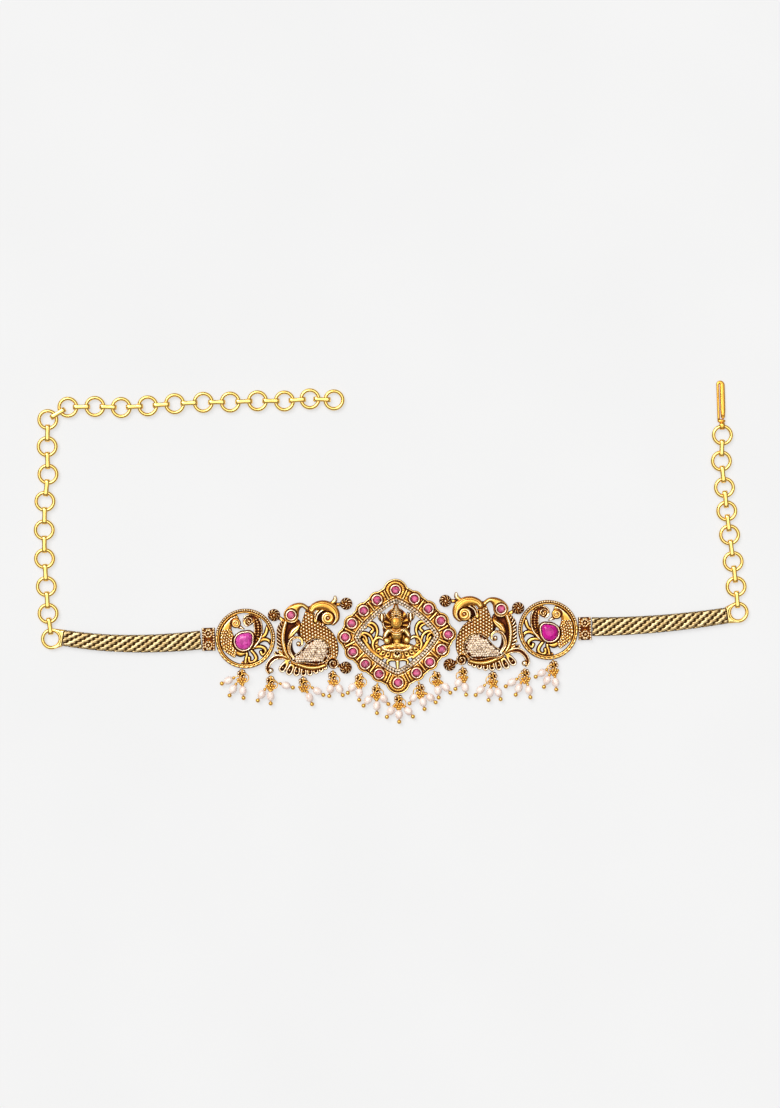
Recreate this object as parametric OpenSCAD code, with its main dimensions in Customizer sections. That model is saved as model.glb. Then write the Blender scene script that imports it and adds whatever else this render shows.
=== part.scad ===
// Temple armlet: a jointed band of cast motifs on two woven straps, with a ring chain at each end.
// It lies flat and open, back down. +X runs along the band, +Y towards the chains, +Z up.
// The origin is on the flat back of the medallion, at its centre. All sizes are in millimetres.

/* [Medallion] */
// Half width of the oval that the round stones sit on
track_a = 15.5; // [15:0.1:16]
// Half height of the oval that the round stones sit on
track_b = 13.9; // [13.5:0.1:14.3]
// Radius of a scallop round one stone
scallop_r = 2.5; // [2.2:0.1:2.7]
// How far outside that oval the outline lies between two scallops
notch_out = 1.9; // [1.2:0.1:2.1]
// Radius of the large scallop at the top and at the bottom
cap_scallop_r = 3.7; // [3.2:0.1:3.9]
// Height of the rim that carries the stones
rim_h = 2.2; // [1.9:0.1:2.6]
// Half width of the window inside the stone border
window_a = 11; // [10.6:0.1:11.2]
// Half height of the window inside the stone border
window_b = 9.8; // [9.5:0.1:10]
// Width of the border of tiny stones
pave_w = 1.8; // [1.4:0.1:1.9]
// Height of the seated figure's face above the surface
figure_h = 4.3; // [3.6:0.1:4.5]

/* [Stones] */
// Diameter of a round stone
ruby_d = 2.2; // [2:0.1:2.4]
// Outer diameter of the collet round it
collet_d = 3.2; // [3:0.1:3.6]
// Height of a collet above the surface
collet_h = 2.8; // [2.6:0.1:3.2]
// Length of the pear stone in a roundel
pear_l = 5.4; // [5:0.1:6]
// Width of the pear stone
pear_w = 4.7; // [4.4:0.1:5]

/* [Roundels and collars] */
// Outer radius of a roundel
roundel_r = 9; // [8.8:0.05:9.05]
// Width of the roundel's round bar
roundel_bar = 1.35; // [1.1:0.05:1.5]
// Length of a collar along the band
collar_l = 3.9; // [3.4:0.1:4]
// Height of a collar across the band
collar_w = 6.9; // [6:0.1:7.4]

/* [Woven straps] */
// Width of a strap at its collar
strap_w_in = 5.7; // [5:0.1:6.2]
// Width of a strap at its end ring
strap_w_out = 4.8; // [4.2:0.1:5]
// Thickness of a strap
strap_t = 2.2; // [1.6:0.1:2.4]

/* [Chain] */
// Outer diameter of a ring
ring_d = 6.3; // [6:0.1:6.6]
// Wire diameter of a ring
ring_wire = 1; // [0.8:0.05:1.05]
// Thickness of the strip that a connector is bent from
strip_t = 0.35; // [0.3:0.05:0.4]
// Width of that strip
strip_w = 1.3; // [1:0.1:1.5]
// Length of the opening inside a connector
connector_in = 4.6; // [4.5:0.05:4.7]
// Length of the hook beyond its eye
hook_l = 11; // [9:0.5:12]

/* [Pearl drops] */
// Diameter of a pearl
pearl_d = 2.3; // [2:0.05:2.4]
// Length of a pearl along its pin
pearl_l = 2.9; // [2.6:0.1:3]
// Diameter of the ball at a pin's end
tip_d = 1.4; // [1:0.1:1.5]
// Diameter of the flower cap
cap_d = 2.7; // [2.4:0.1:2.8]

/* [Hidden] */
$fn = 48;
JOINT_FN = 12;                 // sides of the round joints inside a casting's outline
seat_gap = 0.05;               // clearance between a stone or cap and its seat
weld = 0.01;                   // how far neighbouring outlines grow so that they weld
bed_h = 1.2;                   // thickness of the openwork plate of every casting
track_p = 1.35;                // squareness of the ovals: 1 is a rhombus, 2 an ellipse
window_p = 1.27;
pear_at = [-46, -0.2];
pear_z = 1.5;
pear_bezel = 0.7;              // how far its bezel reaches round it
pear_tip_r = 1.15;             // radius of a pear stone's narrow end
roundel_at = [-45.5, 0.6];     // centres of the left-hand motifs, mirrored for the right
collar_at = [-56.55, 0.7];
left_ring_n = 19;
right_ring_n = 7;

// The three stones between the top stone and the side stone; columns: x, y
STONES_QUARTER = [
    [5.6, 11.1],
    [9.7, 8.0],
    [13.35, 4.3],
];
side_stone_y = 0.2;

// Steps from one ring centre to the next; columns: length of the step, heading in degrees
LEFT_STEPS = [
    [7.7, 96], [8.1, 92], [8.4, 92], [8.6, 89], [8.6, 87], [8.2, 82], [8.3, 90], [8.1, 87],
    [7.1, 30], [8.1, 0], [7.9, -4], [8.0, 2], [8.1, 3], [8.6, 1], [8.1, -1], [8.2, 1],
    [8.1, -2], [7.7, 3], [7.2, -4],
];
RIGHT_STEPS = [
    [7.7, 93], [7.6, 95], [8.1, 96], [7.2, 95], [7.1, 94], [8.0, 95], [7.8, 86],
];
// Three points on the centre line of each strap, from the collar outwards
LEFT_STRAP = [[-58.8, 0.6], [-80.3, 0.1], [-100, 2.4]];
RIGHT_STRAP = [[58.7, 1.2], [78.5, 1.5], [99.1, 3.4]];
LEFT_END = [-103.7, 2.2];
RIGHT_END = [102.7, 4.3];

// Drops on the left-hand half; the right-hand half is its mirror image but for the pins.
// columns: cap x, cap y, direction of the eyelet, reach to the eyelet, pins left, pins right
// a pin is [direction in degrees, distance from the cap to the middle of its pearl]
DROPS = [
    [-46.9, -10.0, 82, 1.7, [[-156, 4.4], [-121, 5.2], [-87, 5.0]], [[-149, 4.3], [-116, 5.0], [-86, 5.2]]],
    [-38.3, -12.2, 78, 1.6, [[-124, 4.9], [-91, 4.7], [-19, 4.9]], [[-148, 4.9], [-116, 4.9], [-80, 5.2]]],
    [-28.5, -12.8, 90, 1.5, [[-70, 5.1], [-35, 5.1]], [[-134, 5.5], [-102, 5.1], [-73, 5.1]]],
    [-19.6, -11.3, 84, 1.8, [[-101, 4.0], [-64, 4.4]], [[-116, 3.4], [-84, 4.7]]],
    [-11.6, -12.3, 63, 1.9, [[-130, 3.4], [-92, 4.3]], [[-86, 4.3], [-52, 4.3]]],
    [-6.6, -15.8, 77, 2.2, [[-130, 4.0], [-90, 4.9], [-52, 3.5]], [[-127, 3.4], [-80, 4.2], [-44, 4.1]]],
    [0, -18.9, 90, 1.6, [[-125, 4.2], [-90, 4.6], [-52, 4.6]], []],
];

// Ribbons of the left-hand bird and roundel; columns: x, y, width of the ribbon there
BIRD_CHEST = [
    [-25.9, 8.7, 2.3], [-26.2, 5.1, 4.2], [-25.2, 2.0, 7.2], [-22.6, -0.2, 7.7],
    [-19.7, -2.5, 4.2], [-19.5, -5.3, 2.9], [-21.0, -7.2, 1.6],
];
BIRD_ARC = [
    [-25.3, 8.6, 1.9], [-24.4, 9.6, 2.3], [-22.4, 10.1, 2.7], [-20.2, 9.6, 2.8], [-18.5, 8.0, 2.7],
    [-18.1, 6.0, 2.2], [-19.0, 4.7, 1.8],
];
BIRD_BEAK = [[-21.5, 4.9, 1.4], [-22.5, 3.6, 0.3]];
BIRD_HEAD = [-20.5, 6.1, 3.8];
// The plate behind the head: x, y, diameter, height of its straight lower edge
HEAD_PLATE = [-21.2, 6.7, 6.2, 3.9];
BIRD_CREST = [[-31.5, 7.3, 4.6], [-30.9, 8.6, 3.6], [-29.6, 9.8, 2.2], [-28.0, 10.1, 1.3], [-26.3, 8.8, 1.4]];
BIRD_COMB = [
    [-33.8, 5.3, 1.5], [-34.8, 3.2, 2.2], [-35.0, 0.8, 2.2], [-35.0, -1.9, 2.0], [-34.4, -4.3, 1.5],
];
BIRD_RIDGE = [
    [-33.2, 5.3, 0.9], [-34.1, 2.2, 1.0], [-34.2, -0.8, 1.0], [-33.5, -3.9, 1.1],
    [-31.7, -6.3, 1.3], [-29.0, -7.9, 1.3], [-26.0, -8.7, 1.3], [-22.9, -8.4, 1.1], [-20.6, -7.3, 1.0],
];
BIRD_RECESS = [
    [-31.0, 5.2, 2.6], [-32.3, 2.2, 3.6], [-32.8, -0.9, 2.8], [-31.9, -4.4, 2.3], [-29.0, -6.6, 2.2],
];
BIRD_LEAF = [[-28.9, 4.4, 0.3], [-29.8, 3.3, 1.4], [-30.9, 2.3, 1.8], [-31.8, 1.2, 1.2], [-32.4, 0.3, 0.3]];
BIRD_WING = [
    [-31.1, -5.6, 0.8], [-32.3, -3.8, 0.9], [-32.4, -1.8, 1.0], [-31.5, 0.0, 1.0], [-30.0, 0.6, 0.9],
    [-28.8, 0.1, 0.8], [-28.4, -1.0, 0.8], [-28.9, -1.8, 0.8], [-29.7, -1.6, 1.1],
];
BIRD_SPRAYS = [
    [[-33.3, -5.3, 0.9], [-34.9, -4.2, 1.3], [-36.4, -3.8, 0.6]],
    [[-33.2, -4.3, 0.8], [-34.3, -3.1, 1.1], [-35.6, -2.5, 0.5]],
];
BIRD_NECK = [[-24.3, 5.2, 0.9], [-23.9, 7.3, 1.2], [-22.5, 8.6, 1.2], [-20.9, 9.0, 0.8]];
BIRD_BAND = [
    [-31.6, -5.2, 0.6], [-29.6, -6.9, 1.0], [-26.8, -7.8, 1.2], [-23.8, -7.7, 1.2], [-21.2, -6.4, 1.0],
];
BIRD_PAVE = [[-24.1, -3.8, 7.0], [-27.6, -5.1, 3.4], [-30.0, -5.8, 1.8], [-31.4, -5.7, 0.7]];
BIRD_HOOK = [
    [-32.6, -6.2, 0.9], [-34.6, -5.3, 1.4], [-36.8, -5.4, 1.6], [-38.5, -6.9, 1.5], [-39.1, -8.6, 1.4],
    [-38.7, -9.9, 0.9],
];
HOOK_BALL = [-38.1, -9.2, 1.5];
// columns: x, y, diameter of each loop of the fringe under the bird
BIRD_LOOPS = [
    [-34.7, -8.8, 2.2], [-32.6, -9.7, 2.2], [-30.4, -10.1, 2.1], [-28.3, -10.3, 2.0],
    [-26.4, -10.2, 1.9], [-24.6, -9.8, 1.8], [-23.0, -9.3, 1.7], [-21.7, -8.7, 1.5],
];
bird_bed_z = 1.7;
fan_focus = [-27, 1.5];
loop_l = 2;
BIRD_SPIRAL = [-19.3, -7.6, 3.3];
BIRD_CRESTBALL = [[-19.4, 10.4, 1.2], [-18.3, 11.3, 1.4], [-18.2, 12.3, 0.9]];
// columns: x, y, then the root of the stem that carries the rosette
ROSETTES = [
    [-36.7, 7.4, -33.6, 5.6],
    [-14.9, 10.2, -18.6, 10.0],
    [-15.6, -9.0, -18.6, -8.0],
];
rosette_d = 3.7;

ROUNDEL_BIRD = [
    [-48.2, 6.4, 1.6], [-49.0, 7.2, 2.0], [-50.3, 6.8, 2.7], [-51.3, 5.0, 3.3], [-51.5, 2.8, 4.1],
    [-51.2, 0.8, 4.8], [-50.6, -0.8, 4.8], [-49.7, -2.6, 3.4], [-49.0, -4.4, 1.2],
];
ROUNDEL_HEAD = [-48.2, 5.3, 2.7];
ROUNDEL_BEAK = [[-47.2, 4.2, 1.2], [-45.7, 3.5, 0.25]];
ROUNDEL_TAIL = [
    [-42.9, -1.4, 1.4], [-41.8, 0.9, 2.3], [-41.5, 3.1, 2.7], [-41.7, 5.2, 2.6], [-42.5, 6.8, 2.0],
    [-43.9, 7.3, 1.5], [-45.3, 6.8, 1.2], [-45.6, 5.6, 1.0], [-44.9, 4.7, 1.0], [-44.0, 5.1, 0.9],
];
ROUNDEL_SCROLLS = [
    [[-43.4, -2.3, 0.8], [-41.9, -0.8, 1.0], [-40.1, 0.2, 1.1], [-38.6, -0.1, 1.0], [-37.8, -1.2, 0.9]],
    [[-43.4, -2.3, 0.8], [-41.3, -1.9, 1.0], [-39.8, -2.5, 1.1], [-39.4, -3.8, 1.0], [-40.4, -4.4, 0.9],
        [-40.9, -3.6, 1.0]],
    [[-44.0, -2.8, 0.8], [-42.9, -4.1, 1.0], [-42.4, -5.4, 1.1], [-43.2, -6.5, 1.0], [-44.4, -6.3, 0.9],
        [-44.5, -5.2, 1.0]],
    [[-45.5, -2.6, 0.9], [-45.1, -4.2, 0.9], [-45.5, -5.6, 0.9], [-45.7, -7.6, 1.0]],
    [[-48.6, -3.2, 1.3], [-47.0, -3.9, 1.7], [-45.6, -3.3, 1.1]],
    [[-41.4, 0.4, 0.9], [-39.6, 1.5, 1.0], [-38.9, 3.2, 1.1], [-38.6, 4.6, 0.6]],
    [[-50.6, 0.5, 2.0], [-47.6, -0.3, 2.0]],
    [[-46.6, -7.3, 1.0], [-45.5, -6.8, 1.6], [-44.4, -7.3, 1.0]],
];

// Ribbons of the window on the left-hand half; columns: x, y, width
LOTUS = [[-6.0, -0.9, 1.4], [-6.6, -2.8, 2.1], [-5.2, -4.3, 2.7], [-2.9, -5.2, 3.3], [0, -5.6, 3.5]];
LOTUS_CURL = [[-3.9, -0.9, 0.6], [-5.2, -0.2, 0.9], [-6.6, -0.8, 1.0], [-7.3, -2.3, 1.0], [-6.9, -3.9, 0.8]];
WINDOW_SCROLLS = [
    [[-9.4, 3.0, 0.9], [-8.8, 3.8, 0.9], [-7.4, 4.2, 1.0], [-6.2, 3.2, 1.0], [-5.8, 1.5, 0.9],
        [-6.4, -0.4, 0.8]],
    [[-8.9, 3.7, 0.7], [-7.6, 3.1, 0.8], [-7.0, 2.2, 0.9], [-7.6, 1.4, 1.1]],
    [[-11.4, -0.4, 0.9], [-10.9, 0.6, 0.9], [-10.0, 1.3, 0.9], [-8.7, 1.0, 0.9], [-7.7, 0.0, 0.9],
        [-7.2, -1.6, 0.8]],
    [[-10.5, 0.9, 0.7], [-9.4, 0.1, 0.8], [-9.0, -1.2, 1.0]],
    [[-10.8, -0.8, 0.8], [-10.0, -2.6, 1.5], [-8.9, -4.2, 1.8], [-7.1, -5.6, 1.5], [-4.6, -6.7, 0.8]],
    [[-0.9, -7.0, 0.8], [-2.1, -7.0, 0.8], [-3.0, -7.5, 0.8], [-3.0, -8.2, 0.9]],
];
FIGURE_BACK = [[0, -4.4, 4], [0, -1.5, 6], [0, 2.5, 8.4], [0, 5.0, 6.8], [0, 7.5, 2.6], [0, 10.2, 0.9]];
SEAT_STEM = [[0, -6.8, 1.3], [0, -8.2, 1.4], [0, -10.2, 0.8]];

ring_r = (ring_d - ring_wire) / 2;
// Height of a ring's wire when the connectors lie on the surface
wire_z = strip_t + 0.1 + ring_wire / 2;
girdle_h = 0.6;                // straight part of a round stone, sunk in its collet
crown_h = 0.55;                // tapered part above it
ruby_z = rim_h - girdle_h;     // height of the seats of the round stones
pin_z = 1.25;                  // height of the pins of a lying drop

function polar(r, a) = [r * cos(a), r * sin(a)];
function ellipse_like(a, b, p, n = 96) = [
    for (i = [0:n - 1]) let (c = cos(360 * i / n), s = sin(360 * i / n))
        [a * sign(c) * pow(abs(c), 2 / p), b * sign(s) * pow(abs(s), 2 / p)]
];
// A Catmull-Rom point between rows p1 and p2
function between(p0, p1, p2, p3, t) =
    0.5 * (2 * p1 + (p2 - p0) * t + (2 * p0 - 5 * p1 + 4 * p2 - p3) * t * t
        + (3 * p1 - p0 - 3 * p2 + p3) * t * t * t);
// The rows of a ribbon, with steps - 1 smooth rows put in between each two
function smooth(rows, steps = 3) = let (last = len(rows) - 1) concat(
    [for (i = [0:last - 1], k = [0:steps - 1])
        between(rows[max(i - 1, 0)], rows[i], rows[i + 1], rows[min(i + 2, last)], k / steps)],
    [rows[last]]
);
function walk(start, steps, n) =
    n == 0 ? start : let (s = steps[n - 1]) walk(start, steps, n - 1) + polar(s[0], s[1]);
// A point on the parabola through three points, t from 0 to 1
function through(p, t) =
    p[0] * (1 - t) * (1 - 2 * t) + p[1] * 4 * t * (1 - t) + p[2] * t * (2 * t - 1);
function heading(v) = atan2(v[1], v[0]);

// A flat ribbon along its rows, round at the joints
module ribbon(rows) {
    line = smooth(rows);
    for (i = [0:len(line) - 2]) {
        a = line[i];
        b = line[i + 1];
        across = polar(0.5, heading(b - a) + 90);
        polygon([
            [a[0], a[1]] + across * a[2], [a[0], a[1]] - across * a[2],
            [b[0], b[1]] - across * b[2], [b[0], b[1]] + across * b[2],
        ]);
    }
    for (p = line) translate([p[0], p[1]]) circle(d = p[2], $fn = JOINT_FN);
}

// Each child rises from the surface to its own height in tops; levels are those heights, rising
module tiers(tops, levels) {
    for (k = [0:len(levels) - 1]) {
        low = k == 0 ? 0 : levels[k - 1];
        translate([0, 0, low]) linear_extrude(levels[k] - low) offset(delta = weld)
            for (i = [0:len(tops) - 1]) if (tops[i] >= levels[k]) children(i);
    }
}

module mirrored() {
    children();
    mirror([1, 0, 0]) children();
}

module at_stones() {
    for (sx = [-1, 1], sy = [-1, 1], s = STONES_QUARTER) translate([sx * s[0], sy * s[1]]) children();
    for (sx = [-1, 1]) translate([sx * track_a, side_stone_y]) children();
    for (sy = [-1, 1]) translate([0, sy * track_b]) children();
}

module round_stone() {
    translate([0, 0, ruby_z]) {
        cylinder(d = ruby_d, h = girdle_h);
        translate([0, 0, girdle_h]) cylinder(d1 = ruby_d, d2 = ruby_d * 0.6, h = crown_h);
    }
}

module collet_seat() {
    translate([0, 0, ruby_z - seat_gap]) cylinder(d = ruby_d + 2 * seat_gap, h = collet_h);
}

module scalloped_outline() {
    offset(r = notch_out) polygon(ellipse_like(track_a, track_b, track_p));
    for (sx = [-1, 1], sy = [-1, 1], s = STONES_QUARTER)
        translate([sx * s[0], sy * s[1]]) circle(r = scallop_r, $fn = 32);
    for (sx = [-1, 1]) translate([sx * track_a, side_stone_y]) circle(r = scallop_r, $fn = 32);
    for (sy = [-1, 1]) translate([0, sy * (track_b - 0.3)]) circle(r = cap_scallop_r, $fn = 40);
}

module window_openwork() {
    ribbon(FIGURE_BACK);
    ribbon(SEAT_STEM);
    mirrored() {
        ribbon(LOTUS);
        ribbon(LOTUS_CURL);
        for (s = WINDOW_SCROLLS) ribbon(s);
    }
}

module medallion() {
    window = ellipse_like(window_a, window_b, window_p);
    pocket = ellipse_like(window_a + pave_w, window_b + pave_w, window_p);
    color("goldenrod") difference() {
        union() {
            linear_extrude(bed_h) offset(delta = weld) {
                difference() {
                    scalloped_outline();
                    polygon(window);
                }
                window_openwork();
            }
            translate([0, 0, bed_h]) linear_extrude(rim_h - bed_h) offset(delta = weld) difference() {
                scalloped_outline();
                polygon(pocket);
            }
            at_stones() cylinder(d = collet_d, h = collet_h);
        }
        at_stones() collet_seat();
    }
}

module medallion_pave() {
    color("ivory") translate([0, 0, bed_h + seat_gap]) linear_extrude(0.85) difference() {
        polygon(ellipse_like(window_a + pave_w - 0.1, window_b + pave_w - 0.1, window_p));
        polygon(ellipse_like(window_a + 0.1, window_b + 0.1, window_p));
    }
}

module medallion_rubies() {
    color("mediumvioletred") at_stones() round_stone();
}

// Radius at height z of a ball of radius r with its middle at height c, straight below the middle
function ball_at(z, r, c) = z < c ? r : sqrt(max(r * r - (z - c) * (z - c), 0));

module figure_disc(at, r) {
    if (r > 0) translate(at) circle(r = r, $fn = 32);
}

module figure_limb(from, to, r) {
    if (r > 0) ribbon([[from[0], from[1], 2 * r], [to[0], to[1], 2 * r]]);
}

// The figure's outline at height z
module figure_slice(z) {
    crown = ball_at(z, 1.9, 2.2);
    figure_disc([0, 4.4], ball_at(z, 1.8, 2.5));
    if (crown > 0) polygon([[-crown, 5.4], [crown, 5.4], [crown * 0.2, 9.3], [-crown * 0.2, 9.3]]);
    figure_disc([0, 1.1], ball_at(z, 2.5, 1.8));
    figure_disc([0, -1.6], ball_at(z, 1.9, 1.7));
    mirrored() {
        figure_limb([2.5, 1.3], [3.1, -1], ball_at(z, 0.85, 2.3));
        figure_limb([2.2, 1.7], [4.1, 4.8], ball_at(z, 0.5, 1.9));
        figure_disc([4.3, 5.8], ball_at(z, 1.05, 1.7));
        figure_limb([0.6, -3.2], [3.4, -3.2], ball_at(z, 1.1, 2.1));
    }
}

module seated_figure() {
    seat = bed_h + seat_gap;
    slices = 5;
    step = (figure_h - seat) / slices;
    color("gold") for (k = [0:slices - 1]) translate([0, 0, seat + k * step])
        linear_extrude(step) offset(delta = weld) figure_slice(seat + (k + 0.5) * step);
}

// columns of at: x, y, diameter
module disc_at(at) {
    translate([at[0], at[1]]) circle(d = at[2], $fn = 32);
}

// Where a loop of the fringe meets the bird: loop_l from its middle towards the fan's focus
function loop_root(at) = let (way = heading(fan_focus - [at[0], at[1]]))
    [at[0] + loop_l * cos(way), at[1] + loop_l * sin(way), at[2]];

// The plate behind the bird's head: a disc with its lower edge cut straight
module head_plate() {
    intersection() {
        disc_at(HEAD_PLATE);
        translate([HEAD_PLATE[0] - HEAD_PLATE[2], HEAD_PLATE[3]]) square(2 * HEAD_PLATE[2]);
    }
}

module peacock() {
    low = bird_bed_z;
    middle = 2.2;
    top = 2.8;
    difference() {
        union() {
            tiers([bed_h, low, middle, top, low, middle, low], [bed_h, low, middle, top]) {
                union() {
                    ribbon(BIRD_RECESS);
                    ribbon(BIRD_PAVE);
                    for (at = ROSETTES) ribbon([[at[0], at[1], 1.2], [at[2], at[3], 1.2]]);
                    for (s = BIRD_SPRAYS) ribbon(s);
                    head_plate();
                }
                union() {
                    ribbon(BIRD_COMB);
                    ribbon(BIRD_HOOK);
                    disc_at(HOOK_BALL);
                    ribbon(BIRD_BAND);
                    for (at = BIRD_LOOPS) ribbon([at, loop_root(at)]);
                }
                union() {
                    ribbon(BIRD_RIDGE);
                    ribbon(BIRD_CREST);
                    ribbon(BIRD_NECK);
                    ribbon(BIRD_CRESTBALL);
                }
                union() {
                    ribbon(BIRD_CHEST);
                    ribbon(BIRD_ARC);
                    ribbon(BIRD_BEAK);
                    disc_at(BIRD_HEAD);
                }
                union() {
                    ribbon(BIRD_WING);
                    ribbon(BIRD_LEAF);
                }
                offset(r = 0.5) ribbon(BIRD_PAVE);
                union() {
                    disc_at(BIRD_SPIRAL);
                    for (at = ROSETTES) disc_at([at[0], at[1], rosette_d]);
                }
            }
            translate([BIRD_CREST[0][0], BIRD_CREST[0][1]]) cylinder(d = collet_d, h = collet_h);
        }
        translate([BIRD_CREST[0][0], BIRD_CREST[0][1]]) collet_seat();
        translate([0, 0, low]) linear_extrude(3) offset(delta = weld) ribbon(BIRD_PAVE);
    }
}

// The body of tiny stones: three steps on the bed that the casting is cut down to
module peacock_pave() {
    step_h = 0.45;
    for (step = [0:2]) translate([0, 0, bird_bed_z + seat_gap + step * step_h])
        linear_extrude(step_h) offset(delta = -0.1 - 0.35 * step) ribbon(BIRD_PAVE);
}

module peacock_ruby() {
    translate([BIRD_CREST[0][0], BIRD_CREST[0][1]]) round_stone();
}

// Outline of a pear stone: a large circle, a small one above it and the lines that touch both
module pear(grow = 0) {
    ball = pear_w / 2 + grow;
    tip = pear_tip_r + grow;
    reach = pear_l - pear_w / 2 - pear_tip_r;
    touch = acos((ball - tip) / reach);
    circle(r = ball, $fn = 48);
    translate([0, reach]) circle(r = tip, $fn = 32);
    polygon([
        polar(ball, 90 - touch), [0, reach] + polar(tip, 90 - touch),
        [0, reach] + polar(tip, 90 + touch), polar(ball, 90 + touch),
    ]);
}

module at_pear() {
    translate(pear_at) rotate(-45) children();
}

module roundel() {
    low = 1.4;
    middle = 1.8;
    top = 2.2;
    bar_z = 1.3;
    difference() {
        union() {
            translate(roundel_at) rotate_extrude() translate([roundel_r - roundel_bar / 2, 0]) {
                translate([0, bar_z]) circle(d = roundel_bar);
                translate([-roundel_bar / 2, 0]) square([roundel_bar, bar_z]);
            }
            intersection() {
                tiers([low, top, middle, top], [low, middle, top]) {
                    for (s = ROUNDEL_SCROLLS) ribbon(s);
                    union() {
                        ribbon(ROUNDEL_BIRD);
                        disc_at(ROUNDEL_HEAD);
                        ribbon(ROUNDEL_BEAK);
                    }
                    ribbon(ROUNDEL_TAIL);
                    at_pear() pear(pear_bezel);
                }
                translate(roundel_at) cylinder(r = roundel_r - roundel_bar / 2, h = 5);
            }
        }
        translate([0, 0, pear_z - seat_gap]) linear_extrude(3) at_pear() pear(seat_gap);
    }
}

// A cabochon in four steps, each drawn in further than the last
module roundel_stone() {
    step_h = 0.4;
    for (step = [0:3]) translate([0, 0, pear_z + step * step_h])
        linear_extrude(step_h) at_pear() pear(-0.12 * step * step);
}

module collar() {
    translate(collar_at) {
        linear_extrude(1.8) offset(r = 0.4) square([collar_l - 0.8, collar_w - 0.8], center = true);
        for (side = [-1, 1]) translate([0, side * collar_w / 4]) {
            cylinder(r = 0.55, h = 2.6);
            for (i = [0:7]) translate(polar(1.15, i * 45)) cylinder(r = 0.42, h = 2.3);
        }
    }
}

// A woven strap: an eight-sided section carried along its centre line
module strap(line) {
    n = 20;
    sides = 8;
    points = [for (i = [0:n]) let (
        t = i / n,
        p = through(line, t),
        w = strap_w_in + (strap_w_out - strap_w_in) * t,
        along = heading(through(line, t + 0.01) - through(line, t - 0.01))
    ) each [for (c = [
            [-0.5, 0.25], [-0.42, 0], [0.42, 0], [0.5, 0.25], [0.5, 0.75], [0.4, 1], [-0.4, 1], [-0.5, 0.75],
        ]) let (q = p + polar(c[0] * w, along + 90)) [q[0], q[1], c[1] * strap_t]]];
    faces = concat(
        [[for (k = [0:sides - 1]) k]],
        [for (i = [0:n - 1], k = [0:sides - 1]) let (m = (k + 1) % sides)
            [i * sides + m, i * sides + k, (i + 1) * sides + k, (i + 1) * sides + m]],
        [[for (k = [sides - 1:-1:0]) n * sides + k]]
    );
    polyhedron(points, faces, convexity = 4);
}

// The plate that caps a strap, with the ring that the chain starts from
module end_ring(at, line) {
    strap_end = line[2];
    out = heading(strap_end - through(line, 0.98));
    towards = heading(strap_end - at);
    edge = strap_end + polar(0.1, out);
    neck = at + polar(1.6, towards);
    difference() {
        union() {
            chain_ring(at);
            translate([0, 0, 0.2]) linear_extrude(1.6) polygon([
                edge + polar(strap_w_out / 2, out + 90), edge - polar(strap_w_out / 2, out + 90),
                neck + polar(2.4, towards + 90), neck - polar(2.4, towards + 90),
            ]);
        }
        translate([at[0], at[1], -1]) cylinder(r = ring_r - ring_wire / 2, h = 5);
    }
}

module chain_ring(at) {
    translate([at[0], at[1], wire_z]) rotate_extrude() translate([ring_r, 0]) circle(d = ring_wire);
}

module slot(l, h) {
    square([l - h, h], center = true);
    for (side = [-1, 1]) translate([side * (l - h) / 2, 0]) circle(d = h);
}

// A strip bent into a long loop on edge, l and h inside
module strip_loop(l) {
    h = ring_wire + 0.2;
    rotate([90, 0, 0]) translate([0, wire_z, -strip_w / 2]) linear_extrude(strip_w) difference() {
        slot(l + 2 * strip_t, h + 2 * strip_t);
        slot(l, h);
    }
}

module connectors(start, steps, n) {
    for (i = [1:n]) {
        a = walk(start, steps, i - 1);
        b = walk(start, steps, i);
        translate((a + b) / 2) rotate(heading(b - a)) strip_loop(connector_in);
    }
}

module hook() {
    wire_r = 0.45;
    bend_r = 1;
    eye_l = ring_wire + 0.6;
    last = walk(RIGHT_END, RIGHT_STEPS, right_ring_n);
    mouth = 2.1;
    root = eye_l / 2 + strip_t;
    color("gold") translate([last[0], last[1] + ring_r]) {
        rotate(90) translate([0.1, 0, 0]) strip_loop(eye_l);
        translate([0, root, wire_z]) rotate([-2.3, 0, 0]) {
            translate([-bend_r - wire_r, 0, -wire_r]) cube([bend_r + 2 * wire_r + 0.2, 0.9, 2 * wire_r]);
            translate([-bend_r, 0.5, 0]) rotate([-90, 0, 0]) cylinder(r = wire_r, h = hook_l - 0.5);
            translate([bend_r, mouth, 0]) {
                sphere(r = wire_r);
                rotate([-90, 0, 0]) cylinder(r = wire_r, h = hook_l - mouth);
            }
            translate([0, hook_l, 0]) rotate_extrude(angle = 180) translate([bend_r, 0]) circle(r = wire_r);
        }
    }
}

// Cap, eyelet stem, jump ring, pins and end balls of one drop, soldered together
module drop_metal(d, pins) {
    translate([d[0], d[1]]) {
        translate([0, 0, 0.7]) cylinder(d = cap_d, h = 1.1);
        translate([0, 0, 1.4]) rotate([0, 90, d[2]]) cylinder(r = 0.3, h = d[3] - 0.15);
        translate([0, -0.85, 1.85]) rotate_extrude() translate([0.95, 0]) circle(d = 0.3);
        for (p = pins) rotate(p[0]) translate([0, 0, pin_z]) {
            rotate([0, 90, 0]) cylinder(r = 0.2, h = p[1] + pearl_l / 2 + tip_d / 2);
            translate([p[1] + pearl_l / 2 + tip_d / 2 + 0.05, 0, 0]) sphere(d = tip_d);
        }
    }
}

// An oval bead, bored along its pin
module pearl() {
    steps = 8;
    bore = 0.27;
    start = asin(2 * bore / pearl_d);
    rotate([0, 90, 0]) rotate_extrude() polygon(concat(
        [for (i = [0:steps]) let (a = -90 + start + (180 - 2 * start) * i / steps)
            [pearl_d / 2 * cos(a), pearl_l / 2 * sin(a)]],
        [[bore, pearl_l / 2 * cos(start)], [bore, -pearl_l / 2 * cos(start)]]
    ));
}

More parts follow.
